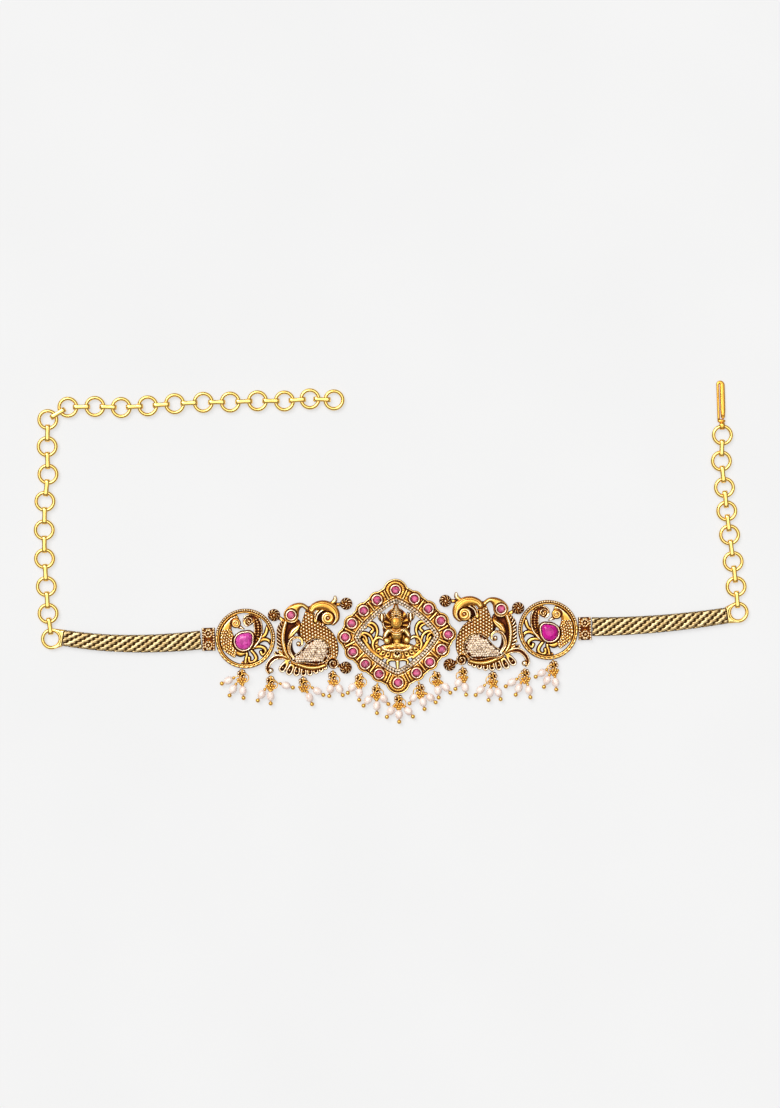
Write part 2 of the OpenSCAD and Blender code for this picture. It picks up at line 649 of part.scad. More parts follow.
module drop_pearls(d, pins) {
    translate([d[0], d[1], pin_z]) for (p = pins) rotate(p[0]) translate([p[1], 0, 0]) pearl();
}

// A row of the table for the right-hand half: the cap and its eyelet are mirrored, the pins are its own
function right_row(d) = [-d[0], d[1], 180 - d[2], d[3]];

module left_drops(first, last) {
    for (i = [first:last]) drop_metal(DROPS[i], DROPS[i][4]);
}
module right_drops(first, last) {
    for (i = [first:last]) drop_metal(right_row(DROPS[i]), DROPS[i][5]);
}
module left_pearls(first, last) {
    for (i = [first:last]) drop_pearls(DROPS[i], DROPS[i][4]);
}
module right_pearls(first, last) {
    for (i = [first:last]) drop_pearls(right_row(DROPS[i]), DROPS[i][5]);
}

medallion();
medallion_pave();
medallion_rubies();
seated_figure();

color("goldenrod") peacock();  // peacock_left
color("ivory") peacock_pave();  // peacock_left_pave
color("mediumvioletred") peacock_ruby();  // peacock_left_ruby
color("goldenrod") roundel();  // roundel_left
color("hotpink") roundel_stone();  // roundel_left_stone
color("darkgoldenrod") collar();  // collar_left
color("olive") strap(LEFT_STRAP);  // mesh_strap_left
color("gold") end_ring(LEFT_END, LEFT_STRAP);  // end_ring_left

color("goldenrod") mirror([1, 0, 0]) peacock();  // peacock_right
color("ivory") mirror([1, 0, 0]) peacock_pave();  // peacock_right_pave
color("mediumvioletred") mirror([1, 0, 0]) peacock_ruby();  // peacock_right_ruby
color("goldenrod") mirror([1, 0, 0]) roundel();  // roundel_right
color("deeppink") mirror([1, 0, 0]) roundel_stone();  // roundel_right_stone
color("darkgoldenrod") mirror([1, 0, 0]) collar();  // collar_right
color("olive") strap(RIGHT_STRAP);  // mesh_strap_right
color("gold") end_ring(RIGHT_END, RIGHT_STRAP);  // end_ring_right

for (i = [1:left_ring_n]) color("gold") chain_ring(walk(LEFT_END, LEFT_STEPS, i));
for (i = [1:right_ring_n]) color("gold") chain_ring(walk(RIGHT_END, RIGHT_STEPS, i));
color("gold")  // left_connectors
    connectors(LEFT_END, LEFT_STEPS, left_ring_n);
color("gold")  // right_connectors
    connectors(RIGHT_END, RIGHT_STEPS, right_ring_n);
hook();

color("gold") left_drops(0, 0);  // roundel_left_drop
color("linen") left_pearls(0, 0);  // roundel_left_drop_pearls
color("gold") left_drops(1, 3);  // peacock_left_drops
color("linen") left_pearls(1, 3);  // peacock_left_drop_pearls
color("gold") {  // medallion_drops
    left_drops(4, 6);
    right_drops(4, 5);
}
color("linen") {  // medallion_drop_pearls
    left_pearls(4, 6);
    right_pearls(4, 5);
}
color("gold") right_drops(1, 3);  // peacock_right_drops
color("linen") right_pearls(1, 3);  // peacock_right_drop_pearls
color("gold") right_drops(0, 0);  // roundel_right_drop
color("linen") right_pearls(0, 0);  // roundel_right_drop_pearls
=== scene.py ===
# %% [markdown]
# # Temple armlet
# The armlet is a flexible band for the upper arm, laid open on its back: cast gold motifs set with
# stones in the middle, a woven strap and a ring chain at each side, and pearl drops along one edge.
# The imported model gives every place. This script puts the fine relief and the finishes on it.

# %% Frame
import math

import bpy
import numpy as np
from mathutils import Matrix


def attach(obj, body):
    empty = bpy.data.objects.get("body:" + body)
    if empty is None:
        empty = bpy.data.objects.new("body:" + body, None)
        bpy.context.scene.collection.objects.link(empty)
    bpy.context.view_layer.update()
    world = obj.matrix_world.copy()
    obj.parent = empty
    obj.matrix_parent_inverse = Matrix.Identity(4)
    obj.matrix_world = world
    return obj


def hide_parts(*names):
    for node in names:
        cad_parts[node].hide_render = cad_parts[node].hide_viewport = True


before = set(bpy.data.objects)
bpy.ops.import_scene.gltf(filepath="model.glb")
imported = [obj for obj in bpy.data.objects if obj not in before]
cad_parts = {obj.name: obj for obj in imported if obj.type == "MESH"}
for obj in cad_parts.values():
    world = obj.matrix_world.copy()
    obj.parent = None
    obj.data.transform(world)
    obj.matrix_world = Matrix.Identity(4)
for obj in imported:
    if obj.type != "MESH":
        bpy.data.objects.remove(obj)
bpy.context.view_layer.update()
MM = 0.001                          # this script's lengths are millimetres; the frame is in metres
print(len(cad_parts), "nodes")

# %% [markdown]
# ## View, floor and light
# The armlet is seen from straight above. The band lies turned by a degree and a half, so the camera
# is turned instead and the band stays along X. Two wide suns act as soft boxes: one overhead and one
# from the upper left. The plain grey surroundings darken the flanks of the gold, which gives polished
# metal its contrast. The floor is plain, pale and matt, and glows a little of its own, which is
# painted light: the glow fills in the shadows under the band, so that its tone stays even.

# %% Camera, floor and lights
LENS, FILM = 85.0, 36.0             # focal length and the film's long side
VIEW_CENTRE = (-1.33, 24.77)        # the place under the middle of the picture
VIEW_HEIGHT = 332.4                 # length of the picture's long side at the band
VIEW_TURN = math.radians(1.64)
MID_HEIGHT = 2.0                    # height of most of the relief
FLOOR_HALF = 8000.0
FLOOR_GAP = 0.05                    # the floor lies this much under the band's back


def added(name, data):
    """An object that holds the data, put into the scene."""
    made = bpy.data.objects.new(name, data)
    bpy.context.scene.collection.objects.link(made)
    return made


camera = added("camera", bpy.data.cameras.new("camera"))
camera.data.lens = LENS
camera.data.sensor_width = FILM
camera.data.clip_end = 100
camera.location = (VIEW_CENTRE[0] * MM, VIEW_CENTRE[1] * MM,
                   (VIEW_HEIGHT * LENS / FILM + MID_HEIGHT) * MM)
camera.rotation_euler = (0, 0, -VIEW_TURN)
bpy.context.scene.camera = camera
bpy.context.scene.view_settings.view_transform = "Standard"

for name, strength, spread, tilt, heading in (("overhead", 1.8, 70, 8, 200),
                                              ("upper_left", 1.9, 34, 38, 218)):
    sun = added(name, bpy.data.lights.new(name, "SUN"))     # it fills a disc of the sky, spread degrees wide
    sun.data.energy, sun.data.angle = strength, math.radians(spread)
    sun.rotation_euler = (math.radians(tilt), 0, math.radians(heading))
world = bpy.data.worlds.new("surroundings")
bpy.context.scene.world = world
world.use_nodes = True
world.node_tree.nodes["Background"].inputs["Color"].default_value = (0.62, 0.61, 0.60, 1)
world.node_tree.nodes["Background"].inputs["Strength"].default_value = 0.5

floor_mesh = bpy.data.meshes.new("floor")
floor_mesh.from_pydata([(x * FLOOR_HALF * MM, y * FLOOR_HALF * MM, -FLOOR_GAP * MM)
                        for x, y in ((-1, -1), (1, -1), (1, 1), (-1, 1))], [], [(0, 1, 2, 3)])
added("floor", floor_mesh)
print("camera at", [round(v, 4) for v in camera.location])

# %% [markdown]
# ## Materials
# Antique gold is plated bright, then darkened, and rubbed back on a cloth: the high places shine and
# the hollows stay brown. Each casting therefore stores how worn each of its points is, in an
# attribute, and the material turns that number into colour, roughness and how metallic it is.

# %% Material helpers
def srgb(*rgb):
    """A colour of 0 to 255 as the linear colour that the shaders use."""
    c = np.array(rgb) / 255
    return (*np.where(c < 0.04045, c / 12.92, ((c + 0.055) / 1.055) ** 2.4), 1.0)


def feed(tree, made, **inputs):
    """Sets inputs of a node: a number goes into its socket, another node's output is linked to it."""
    for key, value in inputs.items():
        socket = made.inputs[key.replace("_", " ")]
        if isinstance(value, bpy.types.NodeSocket):
            tree.links.new(value, socket)
        else:
            socket.default_value = value
    return made


def node(tree, kind, **inputs):
    """A new shader node of that kind with those inputs."""
    return feed(tree, tree.nodes.new("ShaderNode" + kind), **inputs)


def new_material(name):
    """A material, its node tree and its main shader."""
    material = bpy.data.materials.new(name)
    material.use_nodes = True
    return material, material.node_tree, material.node_tree.nodes["Principled BSDF"]


def ramp(tree, source, stops):
    """A colour ramp on a value: stops are a place and the colour there, of 0 to 255."""
    made = node(tree, "ValToRGB", Fac=source)
    elements = made.color_ramp.elements
    while len(elements) < len(stops):
        elements.new(0.5)
    for element, (place, *rgb) in zip(elements, stops):
        element.position, element.color = place, srgb(*rgb)
    return made.outputs["Color"]


def numbers(tree, source, low, high, to_low, to_high):
    """A value moved from the range low..high to to_low..to_high, and held there."""
    return node(tree, "MapRange", Value=source, From_Min=low, From_Max=high, To_Min=to_low,
                To_Max=to_high).outputs["Result"]


def place_on(tree):
    """The place on the piece, from its own origin."""
    return node(tree, "TexCoord").outputs["Object"]


def speckle(tree, size, detail=2.0):
    """Cloudy noise whose patches are about size millimetres, fixed to the piece."""
    return node(tree, "TexNoise", Vector=place_on(tree), Scale=1 / (size * MM), Detail=detail).outputs["Fac"]


def total(tree, a, b, share):
    """a + share * b, as a node socket."""
    made = node(tree, "Math")
    made.operation = "MULTIPLY_ADD"
    made.inputs[1].default_value = share
    tree.links.new(b, made.inputs[0])
    tree.links.new(a, made.inputs[2])
    return made.outputs[0]


def dents(tree, source, depth):
    """Bump for a shader's normal: depth in millimetres where the source goes from 0 to 1."""
    return node(tree, "Bump", Strength=1.0, Distance=depth * MM, Height=source).outputs["Normal"]


def worn_metal(name, stops, rough_low, rough_high, depth):
    """Metal whose colour and gloss follow the worn attribute, with cloudy variation and a fine tooth."""
    material, tree, shader = new_material(name)
    worn = node(tree, "Attribute")
    worn.attribute_name = "worn"
    cloud = total(tree, worn.outputs["Fac"], speckle(tree, 2.5), 0.16)
    cloud = total(tree, cloud, speckle(tree, 0.35), 0.16)
    shade = numbers(tree, cloud, 0.16, 1.16, 0, 1)
    feed(tree, shader, Base_Color=ramp(tree, shade, stops),
         Roughness=numbers(tree, shade, 0.15, 0.8, rough_low, rough_high),
         Metallic=numbers(tree, shade, 0.1, 0.5, 0.35, 1.0),
         Specular_IOR_Level=numbers(tree, shade, 0.1, 0.5, 0.05, 0.5),
         Normal=dents(tree, speckle(tree, 0.25, 4), depth))
    return material


# %% Gold
antique_gold = worn_metal(
    "antique_gold", [(0.0, 42, 13, 5), (0.22, 104, 45, 14), (0.42, 182, 114, 40), (0.62, 224, 172, 80),
                     (0.82, 250, 218, 136), (0.97, 255, 238, 206)], 0.52, 0.28, depth=0.012)
polished_gold = worn_metal(
    "polished_gold", [(0.0, 134, 76, 14), (0.35, 214, 150, 50), (0.6, 246, 198, 98), (0.85, 255, 230, 150)],
    0.35, 0.16, depth=0.008)
woven_gold = worn_metal(
    "woven_gold", [(0.0, 44, 26, 8), (0.3, 114, 84, 42), (0.5, 164, 136, 90), (0.75, 198, 174, 126),
                   (0.95, 232, 212, 168)], 0.54, 0.42, depth=0.01)
print("three golds")

# %% [markdown]
# ## Stones and pearls
# The round stones and the pear stones are tinted glass on foil, so they are bright inside: a glossy
# coat over a colour that changes from facet to facet. The tiny stones are clear. Pearls are soft and
# pale with a faint pink skin over them.

# %% Stone, pearl and floor materials
def glass_on_foil(name, deep, bright, size, coat=0.25, gloss=0.5):
    """Tinted glass with a clear coat: the colour goes from deep to bright in cells of size millimetres."""
    material, tree, shader = new_material(name)
    cells = node(tree, "TexVoronoi", Vector=place_on(tree), Scale=1 / (size * MM), Randomness=1.0)
    tone = node(tree, "SeparateColor", Color=cells.outputs["Color"])
    shade = total(tree, tone.outputs["Red"], speckle(tree, size * 1.7), 0.35)
    feed(tree, shader, Base_Color=ramp(tree, shade, [(0.15, *deep), (0.95, *bright)]), Roughness=0.12,
         Specular_IOR_Level=gloss, IOR=1.62, Coat_Weight=coat, Coat_Roughness=0.03,
         Normal=dents(tree, speckle(tree, size), 0.004))
    return material


ruby_glass = glass_on_foil("ruby_glass", (104, 10, 46), (206, 70, 126), 0.6)
pink_stone = glass_on_foil("pink_stone", (164, 36, 122), (208, 72, 162), 0.9, 0.08, 0.2)
magenta_stone = glass_on_foil("magenta_stone", (142, 4, 92), (194, 20, 138), 0.9, 0.08, 0.2)
white_pave = glass_on_foil("white_pave", (128, 92, 64), (250, 232, 208), 0.5, coat=0.1)

pearl_skin, tree, shader = new_material("pearl")
skin = ramp(tree, speckle(tree, 1.6), [(0.3, 212, 188, 176), (0.6, 234, 220, 210), (0.8, 224, 198, 196)])
feed(tree, shader, Base_Color=skin, Roughness=0.28, Coat_Weight=0.5, Coat_Roughness=0.12, Coat_IOR=1.6,
     Sheen_Weight=0.25, Sheen_Tint=srgb(255, 214, 220), Normal=dents(tree, speckle(tree, 0.8), 0.01))

glowing_floor, tree, shader = new_material("glowing_floor")
grey = ramp(tree, speckle(tree, 60), [(0.3, 129, 129, 129), (0.7, 132, 132, 132)])
# The floor's glow is painted light: it fills in the shadows that the band casts on the floor.
feed(tree, shader, Base_Color=grey, Emission_Color=(1.0, 1.0, 1.0, 1.0), Emission_Strength=0.6,
     Roughness=0.9, Specular_IOR_Level=0.1)
floor_mesh.materials.append(glowing_floor)
print(len(bpy.data.materials), "materials")

# %% [markdown]
# ## Meshes from arrays
# Every new piece is an array of points and arrays of faces. One helper puts them into a mesh, gives
# it its finish, and hides the nodes of the imported model that the piece stands for, if any.

# %% Arrays to a piece
def piece(name, shape, finish, *replaces, worn=0.62, smooth=True, crease=None):
    """Makes a piece of a shape: points in millimetres, groups of faces (each an array with a row a
    face) and, for a casting, how worn each point is."""
    points, groups, *own = shape
    mesh = bpy.data.meshes.new(name)
    mesh.vertices.add(len(points))
    mesh.vertices.foreach_set("co", (np.asarray(points, np.float64) * MM).astype(np.float32).ravel())
    loops = np.concatenate([g.ravel() for g in groups]).astype(np.int32)
    sizes = np.concatenate([np.full(len(g), g.shape[1]) for g in groups])
    mesh.loops.add(len(loops))
    mesh.loops.foreach_set("vertex_index", loops)
    mesh.polygons.add(len(sizes))
    mesh.polygons.foreach_set("loop_start", np.concatenate([[0], np.cumsum(sizes)[:-1]]).astype(np.int32))
    mesh.update(calc_edges=True)
    mesh.validate()
    mesh.polygons.foreach_set("use_smooth", np.full(len(mesh.polygons), smooth))
    if crease:
        mesh.set_sharp_from_angle(angle=math.radians(crease))
    level = np.broadcast_to(own[0] if own else worn, len(points)).astype(np.float32)
    mesh.attributes.new("worn", "FLOAT", "POINT").data.foreach_set("value", level)
    mesh.materials.append(finish)
    made = added(name, mesh)
    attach(made, "root")
    if replaces:
        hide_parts(*replaces)
    print(f"{name}: {len(points)} points, {int((sizes - 2).sum())} triangles")


def repeated(shape, places, turns=0.0, sizes=1.0):
    """Copies of a small shape, each turned about Z, scaled and put at its place, as one shape."""
    (points, groups), n = shape, len(places)
    turns, sizes = (np.broadcast_to(v, n)[:, None] for v in (turns, sizes))
    c, s, (x, y, z) = np.cos(turns), np.sin(turns), points.T
    moved = np.stack([(x * c - y * s) * sizes, (x * s + y * c) * sizes, z * sizes], 2)
    moved = moved + np.asarray(places)[:, None]
    first = len(points) * np.arange(n)[:, None, None]
    return moved.reshape(-1, 3), [(g + first).reshape(-1, g.shape[1]) for g in groups]


def joined(shapes):
    """Several shapes as one, with the face numbers moved on."""
    starts = np.cumsum([0] + [len(s[0]) for s in shapes])
    return (np.concatenate([s[0] for s in shapes]),
            [g + start for s, start in zip(shapes, starts) for g in s[1]])


def mirrored(points, groups, *own):
    """The other side's copy: x turned over, and each face's corners put the other way round."""
    return points * [-1, 1, 1], [g[:, ::-1] for g in groups], *own


def grid_faces(rows, columns, wrap_rows=False):
    """Quads of a grid of rows of points, each row a closed ring."""
    i, j = np.arange(rows if wrap_rows else rows - 1)[:, None], np.arange(columns)
    i2, j2 = (i + 1) % rows * columns, (j + 1) % columns
    i = i * columns
    return np.stack([i + j, i + j2, i2 + j2, i2 + j], -1).reshape(-1, 4)


def closed(rings, first, last, turned=False):
    """A grid of rings closed by a point at each end; turned is for rings that run the other way."""
    rows, columns = rings.shape[:2]
    n, k = rows * columns, np.arange(columns)
    k2, top = np.roll(k, -1), n - columns
    ends = np.concatenate([np.column_stack([k2, k, 0 * k + n]),
                           np.column_stack([top + k, top + k2, 0 * k + n + 1])])
    groups = [grid_faces(rows, columns), ends]
    return (np.concatenate([rings.reshape(-1, 3), [first], [last]]),
            [g[:, ::-1] for g in groups] if turned else groups)


# %% [markdown]
# ## The casting as a height map
# The motifs are cast in low relief, and from above no surface hides another. So a casting is a map of
# heights over a fine square grid, like a coin die: each ornament is a formula for the height over its
# own small area, laid over the ones before it. A second map holds how far each point lies inside the
# casting's outline. The grid points nearest the outline are moved on to it, which keeps edges smooth.

# %% Forms and curves
def bell(x):
    """A rounded ridge: 1 at 0, falling to nothing by about 2."""
    return np.exp(-x * x)


def dome(x):
    """A half circle: 1 in the middle, 0 at 1 and beyond."""
    return np.sqrt(np.clip(1 - x * x, 0, 1))


def mesa(x):
    """A ridge with a flat top: 1 up to 0.7, falling to nothing by about 2."""
    return np.clip(1.63 * bell(x), 0, 1)


def ball(radius, *away):
    """Height of a ball over its middle, at these distances from it across and along."""
    return np.sqrt(np.clip(radius ** 2 - sum(a ** 2 for a in away), 0, None))


def to_nearest(x, pitch=1.0):
    """How far x is from the nearest whole number of pitches."""
    return (x / pitch - np.round(x / pitch)) * pitch


def balls(u, v, pitch, radius):
    """Heights of balls on a staggered lattice: each point has the ball whose centre is nearest."""
    best, rise = np.full(u.shape, 9.0), pitch * 0.87
    for k in (0, 1):
        row = np.floor(u / rise) + k
        column = np.round(v / pitch - 0.5 * (row % 2)) + 0.5 * (row % 2)
        best = np.minimum(best, (u - row * rise) ** 2 + (v - column * pitch) ** 2)
    return np.sqrt(np.clip(radius ** 2 - best, 0, None))


def curve(rows, steps=7):
    """A smooth line through the rows, with steps points for each: between two rows a cubic whose slope
    at a row is half the way between the rows on either side of it, for every column."""
    rows = np.asarray(rows, float)
    p = np.concatenate([rows[:1], rows, rows[-1:]])
    a, b, c, d = (q[:, None] for q in (p[:-3], p[1:-2], p[2:-1], p[3:]))
    t = (np.arange(steps) / steps)[:, None]
    cubic = (3 * b - a - 3 * c + d) * t ** 3
    line = 0.5 * (2 * b + (c - a) * t + (2 * a - 5 * b + 4 * c - d) * t * t + cubic)
    return np.concatenate([line.reshape(-1, rows.shape[1]), rows[-1:]])


def blur(a, reach):
    """The mean of a map near each point, under a bell of that reach in grid steps, by frequencies."""
    fx, fy = np.fft.fftfreq(a.shape[0])[:, None], np.fft.rfftfreq(a.shape[1])
    return np.fft.irfft2(np.fft.rfft2(a) * np.exp(-2 * (np.pi * reach) ** 2 * (fx ** 2 + fy ** 2)), s=a.shape)


def mean_near(a, weight, reach):
    """The same mean, of the points that have weight."""
    return blur(a * weight, reach) / np.maximum(blur(weight, reach), 1e-3)


# %% The height map
OUTLINE = 0.36                      # scrolls are this much wider than listed, for their dark edges


class Relief:
    """Heights H over places X, Y, the depth S inside the outline, and T, which lightens or darkens."""

    def __init__(self, low, high, step):
        """An empty map over the rectangle from low to high, in squares of that step."""
        self.step = step
        axes = (np.arange(a, b + step, step) for a, b in zip(low, high))
        self.X, self.Y = np.meshgrid(*axes, indexing="ij")
        self.H, self.T, self.S = (np.full_like(self.X, v) for v in (0.0, 0.0, -9.0))

    def lay(self, height, inside, over=False, tint=0.0):
        """Lays an ornament on the map where inside is positive: over what is there, or where higher."""
        where = (inside > -1.5 * self.step) & (over | (height > self.H))
        self.H = np.where(where, height, self.H)
        self.T = np.where(where, tint, self.T)
        self.S = np.maximum(self.S, inside)

    def disc(self, x, y):
        """Distance from a point, and direction."""
        return np.hypot(self.X - x, self.Y - y), np.arctan2(self.Y - y, self.X - x)

    def flat(self, x, y, radius, height, tint=0.0):
        """Lays a flat round place."""
        self.lay(height, radius - self.disc(x, y)[0], True, tint)

    def stud(self, x, y, low, rise, radius, trim=0.02, tint=0.0):
        """Lays a dome, trimmed a little inside its foot."""
        r = self.disc(x, y)[0]
        self.lay(low + rise * dome(r / radius), radius - trim - r, True, tint)

    def oval(self, a, b, p):
        """Depth inside the curve |x/a|^p + |y/b|^p = 1, by its value over its steepness."""
        f = ((np.abs(self.X) / a) ** p + (np.abs(self.Y) / b) ** p) ** (1 / p)
        return (1 - f) / np.maximum(np.hypot(*np.gradient(f, self.step)), 1e-6)

    def along(self, rows, margin=0.5):
        """For a ribbon of rows x, y, width: the offset from its line, the way along it, its half width
        there and the depth inside it, each point taking the part of the ribbon that it is deepest in."""
        line, low, gone = curve(rows), np.array([self.X[0, 0], self.Y[0, 0]]), 0.0
        kept = offset, way, half, inside = [np.full_like(self.X, v) for v in (9.0, 0.0, 0.5, -9.0)]
        for a, b in zip(line[:-1], line[1:]):
            length = math.hypot(*(b - a)[:2])
            if length < 1e-9:
                continue
            reach = max(a[2], b[2]) / 2 + margin
            first = ((np.minimum(a, b)[:2] - reach - low) / self.step).astype(int).clip(0)
            last = ((np.maximum(a, b)[:2] + reach - low) / self.step).astype(int) + 2
            part = tuple(slice(i, j) for i, j in zip(first, last))
            ux, uy = (b - a)[:2] / length
            rx, ry = self.X[part] - a[0], self.Y[part] - a[1]
            t = np.clip((rx * ux + ry * uy) / length, 0, 1)
            away = np.hypot(rx - t * length * ux, ry - t * length * uy)
            wide = (a[2] + (b[2] - a[2]) * t) / 2
            better = wide - away > inside[part]
            side = np.where(ux * ry - uy * rx >= 0, 1, -1)
            for target, value in zip(kept, (side * away, gone + t * length, wide, wide - away)):
                target[part] = np.where(better, value, target[part])
            gone += length
        return offset, way, np.maximum(half, 0.05), inside

    def rounded(self, rows, low, high, over=False, tint=0.0):
        """A ribbon with a round back, low at its edges and high in the middle."""
        offset, _, half, inside = self.along(rows)
        self.lay(low + (high - low) * dome(offset / half), inside, over, tint)

    def outlined(self, rows, low, high, tint):
        """A ribbon with a round back, whose edges are darkened: patina and painted shade."""
        offset, _, half, inside = self.along([[x, y, w + OUTLINE] for x, y, w in rows])
        # Patina and painted shade: the edges, where the ribbon's back slopes away from the light, are made
        # darker.
        shade = 0.6 * np.clip((OUTLINE + 0.1 - inside) / 0.2, 0, 1)
        self.lay(low + (high - low) * dome(offset / half), inside, tint=tint - shade)

    def rimmed(self, rows, low, high, line, over=False, tint=0.0):
        """A ribbon with a raised thread along each edge and a darker hollow between them."""
        inside = self.along(rows)[3]
        raised = mesa((inside - line) / line)
        self.lay(low + (high - low) * raised, inside, over, tint - 0.18 * (1 - raised))

    def arrays(self, roll=0.25, base=0.0, hollow=0.0, wall=0.7):
        """The closed shape of the relief: its top, its side walls and a flat or hollowed back. The edge
        is rolled off over a quarter circle of radius roll. High places are worn and low ones dark."""
        soft = mean_near(self.H, (self.S > -1.2 * self.step).astype(float), 0.85)
        height = soft - roll * (1 - dome(np.clip(1 - self.S / roll, 0, 1)))
        height = np.maximum(height, base + 0.15)
        gx, gy = np.gradient(self.S, self.step)
        near = np.abs(self.S) < 0.6 * self.step
        shift = np.where(near, -self.S / np.maximum(np.hypot(gx, gy), 0.3) ** 2, 0)
        inside = near | (self.S > 0)
        x, y = self.X + shift * gx, self.Y + shift * gy
        back = base + np.clip((self.S - wall) / 0.6, 0, 1) * np.clip(height - base - 0.9, 0, hollow)
        worn = 0.5 + self.T
        for reach, share in ((0.16, 3.2), (0.55, 1.1)):
            worn = worn + share * (height - mean_near(height, inside.astype(float), reach / self.step))

        def corners(m):
            """The values at the four corners of every square of the grid, in order round it."""
            return m[:-1, :-1], m[1:, :-1], m[1:, 1:], m[:-1, 1:]

        number = np.stack(corners(np.arange(x.size).reshape(x.shape)), -1)
        there, real = np.stack(corners(inside), -1), np.max(corners(self.S), 0) > 0
        quads = number[there.all(-1) & real]
        three = real & (there.sum(-1) == 3)
        tris = np.concatenate([np.delete(number, k, -1)[three & ~there[..., k]] for k in range(4)])
        used, packed = np.unique(np.concatenate([quads.ravel(), tris.ravel()]), return_inverse=True)
        quads, tris = packed[:quads.size].reshape(-1, 4), packed[quads.size:].reshape(-1, 3)
        edges = np.concatenate([f[:, [k, (k + 1) % f.shape[1]]]
                                for f in (quads, tris) for k in range(f.shape[1])])
        n = len(used)
        lone = ~np.isin(edges[:, 0] * n + edges[:, 1], edges[:, 1] * n + edges[:, 0])
        start, end = edges[lone].T
        walls = np.stack([start + n, end + n, end, start], 1)
        x, y, height, back, worn = (m.ravel()[used] for m in (x, y, height, back, worn))
        points = np.concatenate([np.column_stack([x, y, z]) for z in (height, back)])
        worn = np.concatenate([np.clip(worn, 0, 1), np.full(n, 0.5)])
        return points, [quads, tris, walls, quads[:, ::-1] + n, tris[:, ::-1] + n], worn


CREASE = 62                         # edges steeper than this, in degrees, stay sharp on a casting


def both_sides(name, shape):
    """The left-hand casting and its mirror image, each standing for its own node."""
    for side, made in (("left", shape), ("right", mirrored(*shape))):
        piece(f"{name}_{side}_cast", made, antique_gold, f"{name}_{side}", crease=CREASE)


# %% [markdown]
# ## Medallion
# The medallion is a casting with sixteen scallops. Each has a stone in a bright round setting, and
# neighbours are parted by a pair of raised lines. Two thin lines hold the border of tiny stones, and
# inside it the window is open but for scrolls, the lotus seat and the backing of the figure.

# %% Medallion rim
TRACK, TRACK_P = (15.5, 13.9), 1.35       # oval that the stones sit on, and how square it is
WINDOW, WINDOW_P = (11.0, 9.8), 1.27      # half sizes of the window
PAVE_W = 1.8
QUARTER = [(5.6, 11.1), (9.7, 8.0), (13.35, 4.3)]
SIDE_Y = 0.2
NOTCH_OUT = 1.9                           # how far the outline lies outside the oval between scallops


def oval_rows(a, b, p, n=96):
    """Points round the curve |x/a|^p + |y/b|^p = 1, back to the first."""
    t = np.linspace(0, 2 * np.pi, n + 1)
    c, s = np.cos(t), np.sin(t)
    return np.column_stack([a * np.sign(c) * np.abs(c) ** (2 / p), b * np.sign(s) * np.abs(s) ** (2 / p)])


stones = [(0, TRACK[1])] + QUARTER + [(TRACK[0], SIDE_Y)] + [(x, -y) for x, y in QUARTER[::-1]]
stones = np.array(stones + [(0, -TRACK[1])] + [(-x, y) for x, y in stones[:0:-1]])

rim = Relief((-18.6, -18.2), (18.6, 18.2), 0.124)
track = rim.along([[x, y, 2 * NOTCH_OUT] for x, y in oval_rows(*TRACK, TRACK_P)], margin=3.0)[3]
border = rim.oval(*TRACK, TRACK_P)
border = np.where(border > 0, np.maximum(track, border), track)
for x, y in stones:
    lobe = abs(x) < 0.1                   # the top and bottom scallops are larger, and lie further in
    r, _ = rim.disc(x, y - 0.3 * np.sign(y) * lobe)
    border = np.maximum(border, (3.7 if lobe else 2.5) - r)
pocket = rim.oval(WINDOW[0] + PAVE_W, WINDOW[1] + PAVE_W, WINDOW_P)
window = rim.oval(*WINDOW, WINDOW_P)

face = 1.72 + 0.42 * np.clip((np.minimum(border, -pocket) - 0.35) / 1.3, 0, 1) ** 0.6
for x, y in stones[[0, 8]]:
    r, turn = rim.disc(x, y)
    ribs = 0.09 * np.cos(turn * 26) * np.clip((r - 2.0) / 0.5, 0, 1)
    face = np.where((r < 3.9) & (border < 3.2), face + ribs, face)
for (ax, ay), (bx, by) in zip(stones, np.roll(stones, -1, 0)):
    chord = math.hypot(bx - ax, by - ay)
    x, y = rim.X - (ax + bx) / 2, rim.Y - (ay + by) / 2
    u, v = (x * (bx - ax) + y * (by - ay)) / chord, (-x * (by - ay) + y * (bx - ax)) / chord
    face = np.where((np.abs(u) < 0.5) & (np.abs(v) < 4), 1.55 + 0.55 * mesa(u / 0.26), face)
groove = (border > 0.46) & (border < 0.72)
face = np.where(groove, np.minimum(face, 1.62), face)
face = np.maximum(face, 1.6 + 0.46 * mesa((border - 0.26) / 0.2))
face = np.maximum(face, 1.6 + 0.55 * mesa((pocket + 0.22) / 0.15))
rim.lay(face, border, tint=-0.1 - 0.12 * groove)


def setting(relief, x, y):
    """The round setting of a stone: a groove, a bright bezel and a dark seat."""
    relief.flat(x, y, 1.84, 1.72, tint=-0.2)
    relief.lay(1.9 + 0.7 * mesa((relief.disc(x, y)[0] - 1.42) / 0.26), 1.6 - relief.disc(x, y)[0], True, 0.17)
    relief.flat(x, y, 0.98, 1.6, tint=-0.4)


for x, y in stones:
    setting(rim, x, y)
bed = 1.22 + 0.8 * np.maximum(bell((pocket - 0.16) / 0.14), bell((window + 0.16) / 0.14))
rim.lay(bed, pocket, True, -0.42)
rim.S = np.minimum(rim.S, -window)        # the window is cut out
rim.H = np.where(window > 0, 0, rim.H)
print("rim map", rim.X.shape)
piece("medallion_rim", rim.arrays(hollow=0.45), antique_gold, "medallion", crease=CREASE)

# %% [markdown]
# The scrolls and the lotus are drawn with ribbons: a few points, each with the ribbon's width there.
# Only the left half is listed, and the map is mirrored for the other.

